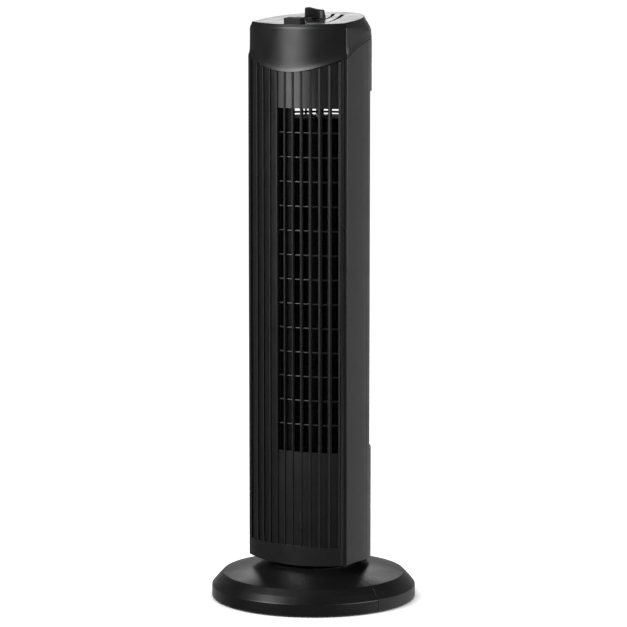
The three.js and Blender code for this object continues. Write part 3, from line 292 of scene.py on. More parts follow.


# The edge lightening on these looks is partly wear and partly a painted highlight along crisp edges.
SLOT_LOOKS = {
    "shell_plastic": surface("shell_plastic", (0.0058, 0.0058, 0.0061), (0.0080, 0.0080, 0.0086),
                             (0.27, 0.37), 1500, 0.05, edge_wear_and_highlight=0.5),
    "panel_plastic": surface("panel_plastic", (0.012, 0.012, 0.013), (0.016, 0.016, 0.0175),
                             (0.20, 0.30), 1800, 0.03, edge_wear_and_highlight=0.4),
    # Inner parts: dark plastic, further darkened and with reflection nearly cut as painted shade, so the
    # inside behind the grille reads black.
    "inner_plastic": surface("inner_plastic", (0.002, 0.002, 0.0021), (0.0034, 0.0034, 0.0036),
                             (0.45, 0.6), 900, 0.06, specular=0.015),
    "rubber": surface("rubber", (0.012, 0.012, 0.012), (0.022, 0.022, 0.022), (0.7, 0.9), 700, 0.1),
    "acetal": surface("acetal", (0.70, 0.69, 0.65), (0.78, 0.77, 0.73), (0.35, 0.5), 900, 0.05),
    "brass": surface("brass", (0.58, 0.43, 0.20), (0.70, 0.54, 0.28), (0.25, 0.42), 600, 0.03,
                     metal=1.0, stretch=(1, 1, 14)),
    "laminations": surface("laminations", (0.25, 0.26, 0.28), (0.38, 0.39, 0.41),
                           (0.35, 0.6), 260, 0.25, metal=1.0, stretch=(0.2, 0.2, 8)),
    "steel": surface("steel", (0.50, 0.50, 0.52), (0.64, 0.64, 0.66), (0.22, 0.42), 400, 0.03,
                     metal=1.0, stretch=(1, 1, 5)),
    "capacitor_case": surface("capacitor_case", (0.66, 0.66, 0.63), (0.76, 0.76, 0.73),
                              (0.35, 0.5), 700, 0.05),
}
# Panel grooves: a darker, unreflective fill set into each groove, painted shade where the grooves lie in
# shadow.
GROOVE_SHADE_LOOK = surface("groove_painted_shade", (0.006, 0.006, 0.0065), (0.010, 0.010, 0.011),
                      (0.8, 0.95), 1200, 0.05, specular=0.0)
BUTTON_LOOK = surface("button_plastic", (0.008, 0.008, 0.0085), (0.012, 0.012, 0.0125),
                      (0.42, 0.55), 1300, 0.05, edge_wear_and_highlight=0.4, specular=0.2)
# Vortex wall: a lighter, more reflective copy of the inner plastic, painted light so its edge shows as the
# lit grey band inside the outlet.
LIT_DUCT_LOOK = surface("duct_plastic_lit_copy", (0.006, 0.006, 0.0063), (0.010, 0.010, 0.0105),
                    (0.36, 0.48), 900, 0.06, specular=0.22)


# -------------------- meshes

BEVEL_ANGLE = 35


def placed(name, data):
    """A new object in the scene."""
    made = bpy.data.objects.new(name, data)
    bpy.context.scene.collection.objects.link(made)
    return made


def make_object(name, vertices, faces, slot):
    """A closed mesh given in millimetres, with one look."""
    mesh = bpy.data.meshes.new(name)
    mesh.from_pydata([(x * MM, y * MM, z * MM) for x, y, z in vertices], [], faces)
    tidy = bmesh.new()
    tidy.from_mesh(mesh)
    bmesh.ops.remove_doubles(tidy, verts=tidy.verts, dist=1e-6)
    bmesh.ops.recalc_face_normals(tidy, faces=tidy.faces)
    tidy.to_mesh(mesh)
    tidy.free()
    piece = placed(name, mesh)
    mesh.materials.append(SLOT_LOOKS[slot])
    return piece


def bake_modifiers(piece):
    """Applies a piece's modifiers to its mesh."""
    bpy.context.view_layer.update()
    graph = bpy.context.evaluated_depsgraph_get()
    mesh = bpy.data.meshes.new_from_object(piece.evaluated_get(graph))
    piece.modifiers.clear()
    piece.data = mesh
    return piece


def painted(piece, look):
    """Gives a piece one look in place of its slot's."""
    piece.data.materials.clear()
    piece.data.materials.append(look)
    return piece


def boolean(piece, tool, operation="DIFFERENCE"):
    step = piece.modifiers.new("cut", "BOOLEAN")
    step.object = tool
    step.operation = operation
    step.solver = "EXACT"
    bake_modifiers(piece)
    bpy.data.objects.remove(tool)
    return piece


def rounded_edges(piece, width, segments):
    step = piece.modifiers.new("bevel", "BEVEL")
    step.width = width * MM
    step.segments = segments
    step.limit_method = "ANGLE"
    step.angle_limit = radians(BEVEL_ANGLE)
    step.use_clamp_overlap = True
    return bake_modifiers(piece)


def shaded(piece, angle):
    """Smooth shading that keeps crisp edges crisp."""
    for polygon in piece.data.polygons:
        polygon.use_smooth = True
    piece.data.set_sharp_from_angle(angle=radians(angle))
    step = piece.modifiers.new("normals", "WEIGHTED_NORMAL")
    step.keep_sharp = True
    step.weight = 60
    return piece


def finished(piece, body, nodes, bevel=0.0, segments=2, angle=38):
    """Bevels and shades a piece, and lets it stand for its CAD nodes on their body."""
    if bevel:
        rounded_edges(piece, bevel, segments)
    shaded(piece, angle)
    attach(piece, body)
    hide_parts(*nodes)
    return piece


def merged(parts):
    """Several vertex and face lists as one."""
    vertices, faces = [], []
    for part_vertices, part_faces in parts:
        start = len(vertices)
        vertices += part_vertices
        faces += [tuple(i + start for i in face) for face in part_faces]
    return vertices, faces


def lofted(loops, closed_ring=True):
    """A solid through loops of as many points each, joined last to first, or with both ends capped."""
    count = len(loops[0])
    vertices = [point for loop in loops for point in loop]
    faces = []
    last = len(loops) if closed_ring else len(loops) - 1
    for i in range(last):
        a, b = i * count, ((i + 1) % len(loops)) * count
        for j in range(count):
            k = (j + 1) % count
            faces.append((a + j, a + k, b + k, b + j))
    if not closed_ring:
        faces.append(tuple(range(count)))
        top = (len(loops) - 1) * count
        faces.append(tuple(top + j for j in reversed(range(count))))
    return vertices, faces


def capped(loops):
    return lofted(loops, closed_ring=False)


def column_of(ring, bottom, top):
    """A straight solid of one outline between two heights."""
    return capped([[(x, y, z) for x, y in ring] for z in (bottom, top)])


def circle(x, y, radius, steps):
    return [(x + radius * cos(tau * k / steps), y + radius * sin(tau * k / steps))
            for k in range(steps)]


def box_body(x0, x1, y0, y1, z0, z1):
    vertices = [(x, y, z) for z in (z0, z1) for x, y in ((x0, y0), (x1, y0), (x1, y1), (x0, y1))]
    faces = [(3, 2, 1, 0), (4, 5, 6, 7), (0, 1, 5, 4), (1, 2, 6, 5), (2, 3, 7, 6), (3, 0, 4, 7)]
    return vertices, faces


def slab(near, far, keep=lambda i, j: True):
    """A closed slab between two grids of points, with the cells that keep() refuses left open."""
    columns, rows = len(near), len(near[0])
    vertices = [point for grid in (near, far) for column in grid for point in column]
    half = columns * rows
    solid = {(i, j) for i in range(columns - 1) for j in range(rows - 1) if keep(i, j)}
    faces = []
    for i, j in solid:
        a, b = i * rows + j, (i + 1) * rows + j
        faces.append((a, b, b + 1, a + 1))
        faces.append((half + a + 1, half + b + 1, half + b, half + a))
        for beyond, p, q in (((i, j - 1), a, b), ((i, j + 1), b + 1, a + 1),
                             ((i - 1, j), a + 1, a), ((i + 1, j), b, b + 1)):
            if beyond not in solid:
                faces.append((q, p, half + p, half + q))
    used = sorted({v for face in faces for v in face})
    number = {v: i for i, v in enumerate(used)}
    return [vertices[v] for v in used], [tuple(number[v] for v in face) for face in faces]


def turned(profile, x=0.0, y=0.0, steps=96):
    """A ring: a closed profile turned about an upright axis that it doesn't touch."""
    loops = []
    for i in range(steps):
        angle = tau * i / steps
        loops.append([(x + r * cos(angle), y + r * sin(angle), z) for r, z in profile])
    return lofted(loops)


def softened(points, radius, closed=True, steps=4, sharp=12.0):
    """A polyline with its corners rounded. radius is one number or one per point."""
    result = []
    count = len(points)
    for i, point in enumerate(points):
        r = radius[i] if isinstance(radius, (list, tuple)) else radius
        if r <= 0 or (not closed and i in (0, count - 1)):
            result.append(tuple(point))
            continue
        here = Vector(point)
        back = Vector(points[i - 1]) - here
        ahead = Vector(points[(i + 1) % count]) - here
        if back.length < 1e-6 or ahead.length < 1e-6:
            result.append(tuple(point))
            continue
        bend = degrees(pi - back.angle(ahead))
        if bend < sharp:
            result.append(tuple(point))
            continue
        reach = min(r * tan(radians(bend) / 2), back.length * 0.49, ahead.length * 0.49)
        start = here + back.normalized() * reach
        end = here + ahead.normalized() * reach
        for k in range(steps + 1):
            t = k / steps
            result.append(tuple(start.lerp(here, t).lerp(here.lerp(end, t), t)))
    return result


def rounded_box(size, centre, radius, steps=3):
    """A box with rounded edges, as loops up its height."""
    hx, hy, hz = (s / 2 for s in size)
    corners = [(hx, hy), (-hx, hy), (-hx, -hy), (hx, -hy)]
    signs = [(1, 1), (-1, 1), (-1, -1), (1, -1)]
    loops = []
    levels = [(-hz, radius)]
    for k in range(1, steps + 1):
        t = pi / 2 * k / steps
        levels.append((-hz + radius * (1 - cos(t)), radius * (1 - sin(t))))
    levels += [(-z, inset) for z, inset in reversed(levels)]
    for z, inset in levels:
        loop = []
        for (cx, cy), (sx, sy) in zip(corners, signs):
            start = atan2(sy, sx) - pi / 4
            for k in range(steps + 1):
                angle = start + pi / 2 * k / steps
                r = radius - inset + 1e-4
                loop.append((centre[0] + cx - sx * radius + r * cos(angle),
                             centre[1] + cy - sy * radius + r * sin(angle), centre[2] + z))
        loops.append(loop)
    return capped(loops)


# -------------------- plan of the column

def arc_radius(plan):
    return FRONT_RADIUS - (plan.front - COLUMN.front)


def arc_centre_y(plan):
    return plan.front + arc_radius(plan)


def side_x(plan, y, inset=0.0):
    """The x of the right side of an outline at a y."""
    reach = plan.rear - plan.widest_y if y > plan.widest_y else SIDE_FRONT_REACH
    share = (y - plan.widest_y) / (reach - inset)
    return (plan.half_width - inset) * sqrt(max(0.0, 1 - share * share))


def front_y(x, inset=0.0, plan=COLUMN):
    return arc_centre_y(plan) - sqrt((arc_radius(plan) - inset) ** 2 - x * x)


def corner(plan, inset):
    """The point where the front arc meets the right side, found by halving."""
    low, high = plan.front, plan.widest_y
    for _ in range(40):
        middle = (low + high) / 2
        if front_y(side_x(plan, middle, inset), inset, plan) > middle:
            low = middle
        else:
            high = middle
    return side_x(plan, low, inset), low


def fillet(plan, inset, radius, steps=7):
    """Points round the corner from the front arc to the right side."""
    cx, cy = corner(plan, inset + radius)
    towards = atan2(cy - arc_centre_y(plan), cx)
    gx = cx / (plan.half_width - inset - radius) ** 2
    gy = (cy - plan.widest_y) / (SIDE_FRONT_REACH - inset - radius) ** 2
    outwards = atan2(gy, gx)
    return [(cx + radius * cos(towards + (outwards - towards) * k / steps),
             cy + radius * sin(towards + (outwards - towards) * k / steps)) for k in range(steps + 1)]


def right_half(plan, inset=0.0, radius=CORNER_RADIUS, front_steps=24, side_steps=10, rear_steps=40):
    """Half the outline: from the middle of the front round the right side to the middle of the rear."""
    bend = fillet(plan, inset, radius)
    span = arc_radius(plan) - inset
    reach = asin(bend[0][0] / span)
    points = []
    for i in range(front_steps):
        angle = reach * i / front_steps
        points.append((span * sin(angle), arc_centre_y(plan) - span * cos(angle)))
    points += bend
    start = bend[-1][1]
    for i in range(1, side_steps):
        y = start + (plan.widest_y - start) * i / side_steps
        points.append((side_x(plan, y, inset), y))
    for i in range(rear_steps + 1):
        angle = pi / 2 * i / rear_steps
        points.append(((plan.half_width - inset) * cos(angle),
                       plan.widest_y + (plan.rear - plan.widest_y - inset) * sin(angle)))
    return points


def outline(plan, inset=0.0, radius=CORNER_RADIUS):
    half = right_half(plan, inset, radius)
    return half + [(-x, y) for x, y in reversed(half[1:-1])]


def arch_z(y, top, radius, middle_y):
    return top - radius + sqrt(radius ** 2 - (y - middle_y) ** 2)


def cap_seam_z(y):
    return arch_z(y, CAP_SEAM_TOP, 120.0, 30.0)


def bottom_arch_z(y):
    return arch_z(y, COLUMN_BOTTOM, 280.0, -16.0)


def panel_z(y):
    return PANEL_FRONT_Z + PANEL_SLOPE * (y - PANEL.front)


def strip(x0, x1, near, far, bottom, top, step=4.0, rows=1):
    """A slab that follows the curved front. bottom and top are heights or functions of y."""
    count = max(1, round(abs(x1 - x0) / step))
    grids = []
    for depth in (near, far):
        grid = []
        for i in range(count + 1):
            x = x0 + (x1 - x0) * i / count
            y = front_y(x, depth)
            low = bottom(y) if callable(bottom) else bottom
            high = top(y) if callable(top) else top
            grid.append([(x, y, low + (high - low) * j / rows) for j in range(rows + 1)])
        grids.append(grid)
    return slab(*grids)


def under_cap(y):
    return cap_seam_z(y) - SEAM_GAP


# -------------------- base

def dome_z(radius):
    """The height of the base's domed top, steepest at the ridge and flatter towards the neck."""
    share = (RIDGE_RADIUS - radius) / (RIDGE_RADIUS - NECK_HOLE_RADIUS)
    return RIDGE_Z + DOME_RISE * (1.35 * share - 0.35 * share * share)


def base_profile():
    """The cross-section of the hollow base, from its outer lower edge over the top and back inside."""
    outer = [
        (BASE_RADIUS - 0.5, 1.5),
        (BASE_RADIUS, 2.0),
        (BASE_RADIUS, RIM_HEIGHT + 0.3),
        (BASE_RADIUS - 6.5, RIDGE_Z - 7.3),
        (RIDGE_RADIUS, RIDGE_Z),
    ]
    outer = softened(outer, [0.0, 0.0, 2.2, 16.0, 0.0], closed=False, steps=6, sharp=2.0)
    dome_radii = [RIDGE_RADIUS - (RIDGE_RADIUS - NECK_HOLE_RADIUS) * i / 12 for i in range(1, 13)]
    dome = [(r, dome_z(r)) for r in dome_radii]
    wall = BASE_RADIUS - BASE_WALL
    inner = [(r, dome_z(r) - BASE_WALL) for r in (NECK_HOLE_RADIUS, 66.0, 80.0, 94.0)]
    inner += [
        (RIDGE_RADIUS - 1.0, RIDGE_Z - BASE_WALL),
        (BASE_RADIUS - 6.2, RIDGE_Z - 8.4),
        (wall, RIM_HEIGHT),
        (wall, FLANGE_Z + FLANGE_THICKNESS),
        (wall - FLANGE_WIDTH, FLANGE_Z + FLANGE_THICKNESS),
        (wall - FLANGE_WIDTH, FLANGE_Z),
        (wall, FLANGE_Z),
        (wall, 1.5),
    ]
    ridge_rounding = softened([outer[-2], outer[-1], dome[0]], [0, 1.2, 0], closed=False, steps=4)
    return outer[:-2] + ridge_rounding + dome[1:] + inner


def half_turned(profile, start_angle, steps=120):
    """Half a turned piece whose flat ends stand off the split line by half the seam's gap."""
    loops = []
    for i in range(steps + 1):
        loop = []
        for r, z in profile:
            margin = asin(SEAM_GAP / 2 / r)
            angle = start_angle + margin + (pi - 2 * margin) * i / steps
            loop.append((r * cos(angle), r * sin(angle), z))
        loops.append(loop)
    return capped(loops)


def flange_bottom():
    return dome_z(BASE_SCREW_CIRCLE) - BASE_WALL - 8.0


def build_base():
    profile = base_profile()
    for name, turn in (("base_rear_half", 0), ("base_front_half", 180)):
        body = half_turned(profile, radians(BASE_SPLIT_ANGLE + turn))
        piece = make_object(name + "_skin", *body, "shell_plastic")
        finished(piece, "base", [name], bevel=0.25, segments=1, angle=30)
    feet_and_screws()
    neck()


def feet_and_screws():
    foot_circle = BASE_RADIUS - BASE_WALL - FLANGE_WIDTH / 2
    profile = [(0.0, 0.45), (2.6, 0.45), (3.1, 0.0), (6.2, 0.0), (6.8, 0.3), (7.0, 0.8),
               (7.0, 2.2), (6.6, 2.8), (0.0, 2.8)]
    for i in range(FOOT_COUNT):
        angle = radians(BASE_SPLIT_ANGLE + 30 + 60 * i)
        x, y = foot_circle * cos(angle), foot_circle * sin(angle)
        piece = make_object(f"foot_{i + 1}_pad", *spun(profile, x, y), "rubber")
        finished(piece, "base", [f"foot_{i + 1}"])
    for i in range(BASE_SCREW_COUNT):
        angle = radians(BASE_SPLIT_ANGLE + 45 + 90 * i)
        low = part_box(f"base_screw_{i + 1}")[0].z / MM
        x, y = BASE_SCREW_CIRCLE * cos(angle), BASE_SCREW_CIRCLE * sin(angle)
        piece = cross_screw(f"base_screw_{i + 1}_pan", 7.5)
        piece.data.transform(Matrix.Translation(Vector((x, y, low)) * MM))
        finished(piece, "base", [f"base_screw_{i + 1}"])


def neck():
    """The flanged collar with its deck and the slot the crank pin runs in, and the slip ring on top."""
    flange = flange_bottom()
    section = [
        (PIVOT_HOLE_RADIUS, NECK_DECK_BOTTOM),
        (NECK_INNER_RADIUS, NECK_DECK_BOTTOM),
        (NECK_INNER_RADIUS, flange),
        (NECK_FLANGE_RADIUS, flange),
        (NECK_FLANGE_RADIUS, flange + 3.0),
        (NECK_RADIUS, flange + 3.0),
        (NECK_RADIUS, NECK_TOP),
        (NECK_INNER_RADIUS, NECK_TOP),
        (NECK_INNER_RADIUS, NECK_DECK_TOP),
        (PIVOT_HOLE_RADIUS, NECK_DECK_TOP),
    ]
    piece = make_object("neck_skin", *turned(softened(section, 0.6)), "inner_plastic")
    reach = CRANK_OFFSET * sin(radians(SWING_LIMIT)) + CRANK_SLOT_HALF_WIDTH
    boolean(piece, box_tool(-CRANK_SLOT_HALF_WIDTH, CRANK_SLOT_HALF_WIDTH,
                            CRANK_OFFSET - reach, CRANK_OFFSET + reach,
                            NECK_DECK_BOTTOM - 6.5, NECK_DECK_TOP + 2.5))
    finished(piece, "base", ["neck"], bevel=0.2, segments=1)
    section = softened([
        (NECK_INNER_RADIUS, SLIP_RING_BOTTOM),
        (SLIP_RING_RADIUS, SLIP_RING_BOTTOM),
        (SLIP_RING_RADIUS, SLIP_RING_TOP),
        (NECK_INNER_RADIUS, SLIP_RING_TOP),
    ], 0.25)
    finished(make_object("slip_ring_skin", *turned(section), "acetal"), "base", ["slip_ring"])


def box_tool(*sides):
    return make_object("tool", *box_body(*sides), "inner_plastic")


def column_tool(inset, bottom, top):
    return make_object("tool", *column_of(outline(COLUMN, inset), bottom, top), "inner_plastic")


def bar_tool(radius, y0, y1, x, z):
    """A round bar along Y."""
    loops = [[(px, y, pz) for px, pz in circle(x, z, radius, 40)] for y in (y0, y1)]
    return make_object("tool", *capped(loops), "inner_plastic")


def spun(profile, x=0.0, y=0.0, steps=64):
    """A solid turned about an axis that its profile touches at both ends."""
    vertices, faces = [], []
    rings = []
    for r, z in profile:
        if r <= 0:
            rings.append([len(vertices)])
            vertices.append((x, y, z))
        else:
            rings.append(list(range(len(vertices), len(vertices) + steps)))
            vertices += [(px, py, z) for px, py in circle(x, y, r, steps)]
    for a, b in zip(rings, rings[1:]):
        for j in range(steps):
            k = (j + 1) % steps
            if len(a) == 1:
                faces.append((a[0], b[j], b[k]))
            elif len(b) == 1:
                faces.append((a[j], a[k], b[0]))
            else:
                faces.append((a[j], a[k], b[k], b[j]))
    return vertices, faces


def cross_screw(name, length):
    """A pan-head screw with a cross recess and a threaded shank, which points up from its face at 0."""
    profile = [(0.0, 0.15), (1.6, 0.1), (2.6, 0.35), (3.1, 0.9), (3.2, 1.5), (3.1, 2.0), (1.5, 2.0)]
    turns = int(length / 0.8)
    for k in range(turns):
        z = 2.2 + k * 0.8
        profile += [(1.15, z), (1.5, z + 0.4)]
    profile += [(1.1, 2.2 + turns * 0.8), (0.0, 2.0 + length)]
    piece = make_object(name, *spun(profile, steps=28), "steel")
    for turn in (0, 90):
        tool = box_tool(-1.7, 1.7, -0.38, 0.38, -1.0, 1.1)
        tool.data.transform(Matrix.Rotation(radians(turn + 20), 4, "Z"))
        boolean(piece, tool)
    return piece


# -------------------- column shells

def path_points(inset, start_y, stop_y, fine=48):
    """Points round the rear of the right side, evenly by angle. stop_y is None for the rear's middle."""
    points = []
    plan = COLUMN
    span = plan.rear - plan.widest_y - inset
    a0 = asin(max(-1.0, min(1.0, (start_y - plan.widest_y) / span)))
    a1 = pi / 2 if stop_y is None else asin((stop_y - plan.widest_y) / span)
    for i in range(fine + 1):
        angle = a0 + (a1 - a0) * i / fine
        points.append(((plan.half_width - inset) * cos(angle), plan.widest_y + span * sin(angle)))
    return points


def lip_path(inset):
    """From the lip's inner edge round the corner and along the side to the split, on the right."""
    bend = fillet(COLUMN, inset, max(0.15, CORNER_RADIUS - inset * 0.5))
    end_x = bend[0][0]
    points = []
    for i in range(3):
        x = LIP_X + (max(end_x, LIP_X + 0.05) - LIP_X) * i / 3
        points.append((x, front_y(x, inset)))
    points += bend
    start = bend[-1][1]
    for i in range(1, 12):
        y = start + (COLUMN.widest_y - start) * i / 12
        points.append((side_x(COLUMN, y, inset), y))
    points += path_points(inset, COLUMN.widest_y, SPLIT_Y, fine=14)
    return points


def standing_grid(path, rows=8):
    """A grid that stands on a path, from the arched bottom up to the cap."""
    grid = []
    for x, y in path:
        low, high = bottom_arch_z(y), under_cap(y)
        grid.append([(x, y, low + (high - low) * j / rows) for j in range(rows + 1)])
    return grid


def mirrored(body):
    vertices, faces = body
    return [(-x, y, z) for x, y, z in vertices], [tuple(reversed(face)) for face in faces]


def screw_boss(x, z):
    """A hollow boss behind the front shell, and the rib that ties it to the side wall."""
    section = [
        (BOSS_RADIUS, SPLIT_Y - BOSS_LENGTH),
        (BOSS_RADIUS, SPLIT_Y),
        (BOSS_HOLE_RADIUS, SPLIT_Y),
        (BOSS_HOLE_RADIUS, SPLIT_Y - BOSS_HOLE_DEPTH),
    ]
    boss = capped([[(px, y, pz) for px, pz in circle(x, z, r, 32)] for r, y in section])
    clear = BOSS_RADIUS - 0.2
    x0, x1 = (-SIDE_WALL_X, x - clear) if x < 0 else (x + clear, SIDE_WALL_X)
    half = BOSS_RIB_HALF_HEIGHT
    return [boss, box_body(x0, x1, SPLIT_Y - BOSS_LENGTH, SPLIT_Y - 0.1, z - half, z + half)]


def front_shell():
    side = slab(standing_grid(lip_path(0.0)), standing_grid(lip_path(WALL)))
    near = GRILLE_DEPTH + BACKING_GAP
    far = near + WALL
    reach = BACKING_HALF_WIDTH
    parts = [
        side,
        mirrored(side),
        strip(-reach, reach, near, far, *LOWER_BACKING),
        strip(-reach, reach, near, far, UPPER_BACKING_BOTTOM, under_cap),
    ]
    for x, z in HOUSING_SCREWS:
        parts += screw_boss(x, z)
    piece = make_object("front_shell_skin", *merged(parts), "shell_plastic")
    finished(piece, "head", ["front_shell"], bevel=0.35)


EDGE_CELLS = 5


def rear_shell():
    frontier = SPLIT_Y + SEAM_GAP
    grids = []
    heights = [REAR_BOTTOM, 90.0, 135.0, INLET_BOTTOM, 290.0, 400.0, 510.0, INLET_TOP, None]
    for inset in (0.0, WALL):
        half = path_points(inset, frontier, INLET_EDGE_Y, fine=EDGE_CELLS)
        half += path_points(inset, INLET_EDGE_Y, None)[1:]
        path = half + [(-x, y) for x, y in reversed(half[:-1])]
        grids.append([[(x, y, under_cap(y) if z is None else z) for z in heights] for x, y in path])
    columns = len(grids[0])
    window_rows = range(heights.index(INLET_BOTTOM), heights.index(INLET_TOP))
    window_columns = range(EDGE_CELLS, columns - 1 - EDGE_CELLS)
    body = slab(*grids, keep=lambda i, j: not (i in window_columns and j in window_rows))
    piece = make_object("rear_shell_skin", *body, "shell_plastic")
    for x, z in HOUSING_SCREWS:
        boss = bar_tool(BOSS_RADIUS, frontier + 0.05, COLUMN.rear, x, z)
        boolean(boss, column_tool(0.3, z - 10, z + 10), "INTERSECT")
        boolean(piece, boss, "UNION")
        boolean(piece, bar_tool(SCREW_HEAD_HOLE_RADIUS, SPLIT_Y + SCREW_HEAD_SEAT, 90.0, x, z))
        boolean(piece, bar_tool(SCREW_HOLE_RADIUS, 5.0, SPLIT_Y + SCREW_HEAD_SEAT + 1.0, x, z))
    boolean(piece, bar_tool(GROMMET_HOLE_RADIUS, COLUMN.rear - 15, 90.0, 0.0, GROMMET_Z))
    finished(piece, "head", ["rear_shell"], bevel=0.3)
    section = [(3.5, 0.0), (9.0, 0.0), (9.0, 2.0), (7.0, 2.0), (7.0, 5.4), (5.6, 5.9), (3.5, 5.4)]
    piece = make_object("cord_grommet_skin", *turned(softened(section, 0.5)), "rubber")
    piece.data.transform(Matrix.Translation(Vector((0, GROMMET_REAR_Y, GROMMET_Z)) * MM)
                         @ Matrix.Rotation(radians(-90), 4, "X"))
    finished(piece, "head", ["cord_grommet"])
    for i, (x, z) in enumerate(HOUSING_SCREWS):
        piece = cross_screw(f"housing_screw_{i + 1}_pan", 12.3)
        piece.data.transform(Matrix.Translation(Vector((x, SPLIT_Y + 5.6, z)) * MM)
                             @ Matrix.Rotation(radians(90), 4, "X"))
        finished(piece, "head", [f"housing_screw_{i + 1}"])


def side_rear_y(x):
    """The y of the rear half of the outline at an x."""
    plan = COLUMN
    share = x / plan.half_width
    return plan.widest_y + (plan.rear - plan.widest_y) * sqrt(1 - share * share)


def rear_path(inset, breaks, fine):
    """The rear of the outline from right to left, with a point at each x in breaks."""
    edge_y = INLET_EDGE_Y + SEAM_GAP
    plan = COLUMN
    span = plan.rear - plan.widest_y - inset
    half_width = plan.half_width - inset
    edge_x = half_width * cos(asin((edge_y - plan.widest_y) / span))
    stops = [edge_x] + sorted(breaks, reverse=True) + [-edge_x]
    points, marks = [], []
    for x0, x1 in zip(stops, stops[1:]):
        a0, a1 = acos(x0 / half_width), acos(x1 / half_width)
        count = max(1, round((a1 - a0) * half_width / fine))
        marks.append(len(points))
        for k in range(count):
            angle = a0 + (a1 - a0) * k / count
            points.append((half_width * cos(angle), plan.widest_y + span * sin(angle)))
    marks.append(len(points))
    points.append((-edge_x, edge_y))
    return points, marks


def rear_grille():
    breaks = [x for pair in SLOT_COLUMNS for x in pair]
    outer, marks = rear_path(INLET_INSET, breaks, fine=5.0)
    widest_y = COLUMN.widest_y
    scale = (COLUMN.half_width - INLET_INSET - INLET_WALL) / (COLUMN.half_width - INLET_INSET)
    deep = COLUMN.rear - widest_y - INLET_INSET
    inner = [(x * scale, widest_y + (y - widest_y) * (deep - INLET_WALL) / deep) for x, y in outer]
    bottom, top = INLET_BOTTOM + SEAM_GAP, INLET_TOP - SEAM_GAP
    count = int((top - bottom - 6.0) / SLOT_PITCH)
    first = (top + bottom) / 2 - (count * SLOT_PITCH - (SLOT_PITCH - SLOT_HEIGHT)) / 2
    heights, open_rows = [bottom], set()
    for row in range(count):
        z = first + row * SLOT_PITCH
        open_rows.add(len(heights))
        heights += [z, z + SLOT_HEIGHT]
    heights.append(top)
    open_columns = set()
    for k in (1, 3, 5):
        open_columns |= set(range(marks[k], marks[k + 1]))
    grids = [[[(x, y, z) for z in heights] for x, y in path] for path in (outer, inner)]
    body = slab(*grids, keep=lambda i, j: not (i in open_columns and j in open_rows))
    ribs = []
    for x in GRILLE_RIB_XS:
        y = side_rear_y(x) - INLET_INSET - INLET_WALL - 1.2
        ribs.append(box_body(x - 0.8, x + 0.8, y - 2.5, y + 0.9, bottom + 1, top - 1))
    piece = make_object("rear_grille_skin", *merged([body] + ribs), "shell_plastic")
    finished(piece, "head", ["rear_grille"], bevel=0.3, segments=1)


def fin(x, steps=10):
    """An upright fin with a round nose, from the face of the grille back into its panels."""
    sides = (x + FIN_HALF_WIDTH, x - FIN_HALF_WIDTH)
    section = [(px, front_y(px, GRILLE_DEPTH - 0.05)) for px in sides]
    for k in range(steps + 1):
        share = -cos(pi * k / steps)
        px = x + FIN_HALF_WIDTH * share
        section.append((px, front_y(px) + FIN_NOSE * (1 - sqrt(1 - share * share))))
    foot = [(px, py, GRILLE_BAND_TOP - 2) for px, py in section]
    head = [(px, py, under_cap(py) - FIN_TOP_GAP) for px, py in section]
    return capped([foot, head])


def bar(x0, x1, z, steps=26):
    """A level bar with a round nose that follows the curved front."""
    half = BAR_HALF_HEIGHT
    loops = []
    for i in range(steps + 1):
        x = x0 + (x1 - x0) * i / steps
        back = front_y(x, GRILLE_DEPTH + 0.6)
        loop = [(x, back, z - half), (x, back, z + half)]
        for k in range(9):
            share = cos(pi * k / 8)
            y = front_y(x, BAR_RECESS) + BAR_NOSE * (1 - sqrt(1 - share * share))
            loop.append((x, y, z + half * share))
        loops.append(loop)
    return capped(loops)


def front_grille():
    edge = LIP_X - SEAM_GAP
    left = FIRST_FIN_X + FIRST_OPEN_FIN * FIN_STEP
    right = FIRST_FIN_X + (FIN_COUNT - 1) * FIN_STEP
    stops = [-edge, left, right, edge]
    xs, spans = [], []
    for a, b in zip(stops, stops[1:]):
        count = max(2, round((b - a) / 3.0))
        spans.append(len(xs))
        xs += [a + (b - a) * k / count for k in range(count)]
    xs.append(edge)
    heights = [None, GRILLE_BAND_TOP - 1, OUTLET_BOTTOM, OUTLET_TOP, 640.0]
    grids = []
    for depth in (PANEL_RECESS, GRILLE_DEPTH):
        grid = []
        for x in xs:
            y = front_y(x, depth)
            column = [(x, y, bottom_arch_z(y) if z is None else z) for z in heights]
            grid.append(column + [(x, y, under_cap(y) - PANEL_TOP_GAP)])
        grids.append(grid)
    parts = [slab(*grids, keep=lambda i, j: not (spans[1] <= i < spans[2] and j == 2))]
    for i in range(BAR_COUNT):
        parts.append(bar(left, right, OUTLET_TOP - TOP_BAR_DROP - i * BAR_STEP))
    for i in range(FIN_COUNT):
        parts.append(fin(FIRST_FIN_X + i * FIN_STEP))
    for x0, x1 in ((-edge, LEFT_STRIP_X), (RIGHT_STRIP_X, edge)):
        parts.append(strip(x0, x1, 0.0, GRILLE_DEPTH - 0.08, bottom_arch_z, under_cap, 2.0, rows=4))
    band = strip(-edge + 0.1, edge - 0.1, 0.0, GRILLE_DEPTH - 0.1, bottom_arch_z, GRILLE_BAND_TOP, 3.0)
    parts.append(band)
    piece = make_object("front_grille_skin", *merged(parts), "shell_plastic")
    finished(piece, "head", ["front_grille"], bevel=0.2, segments=1, angle=50)


# -------------------- cap and controls

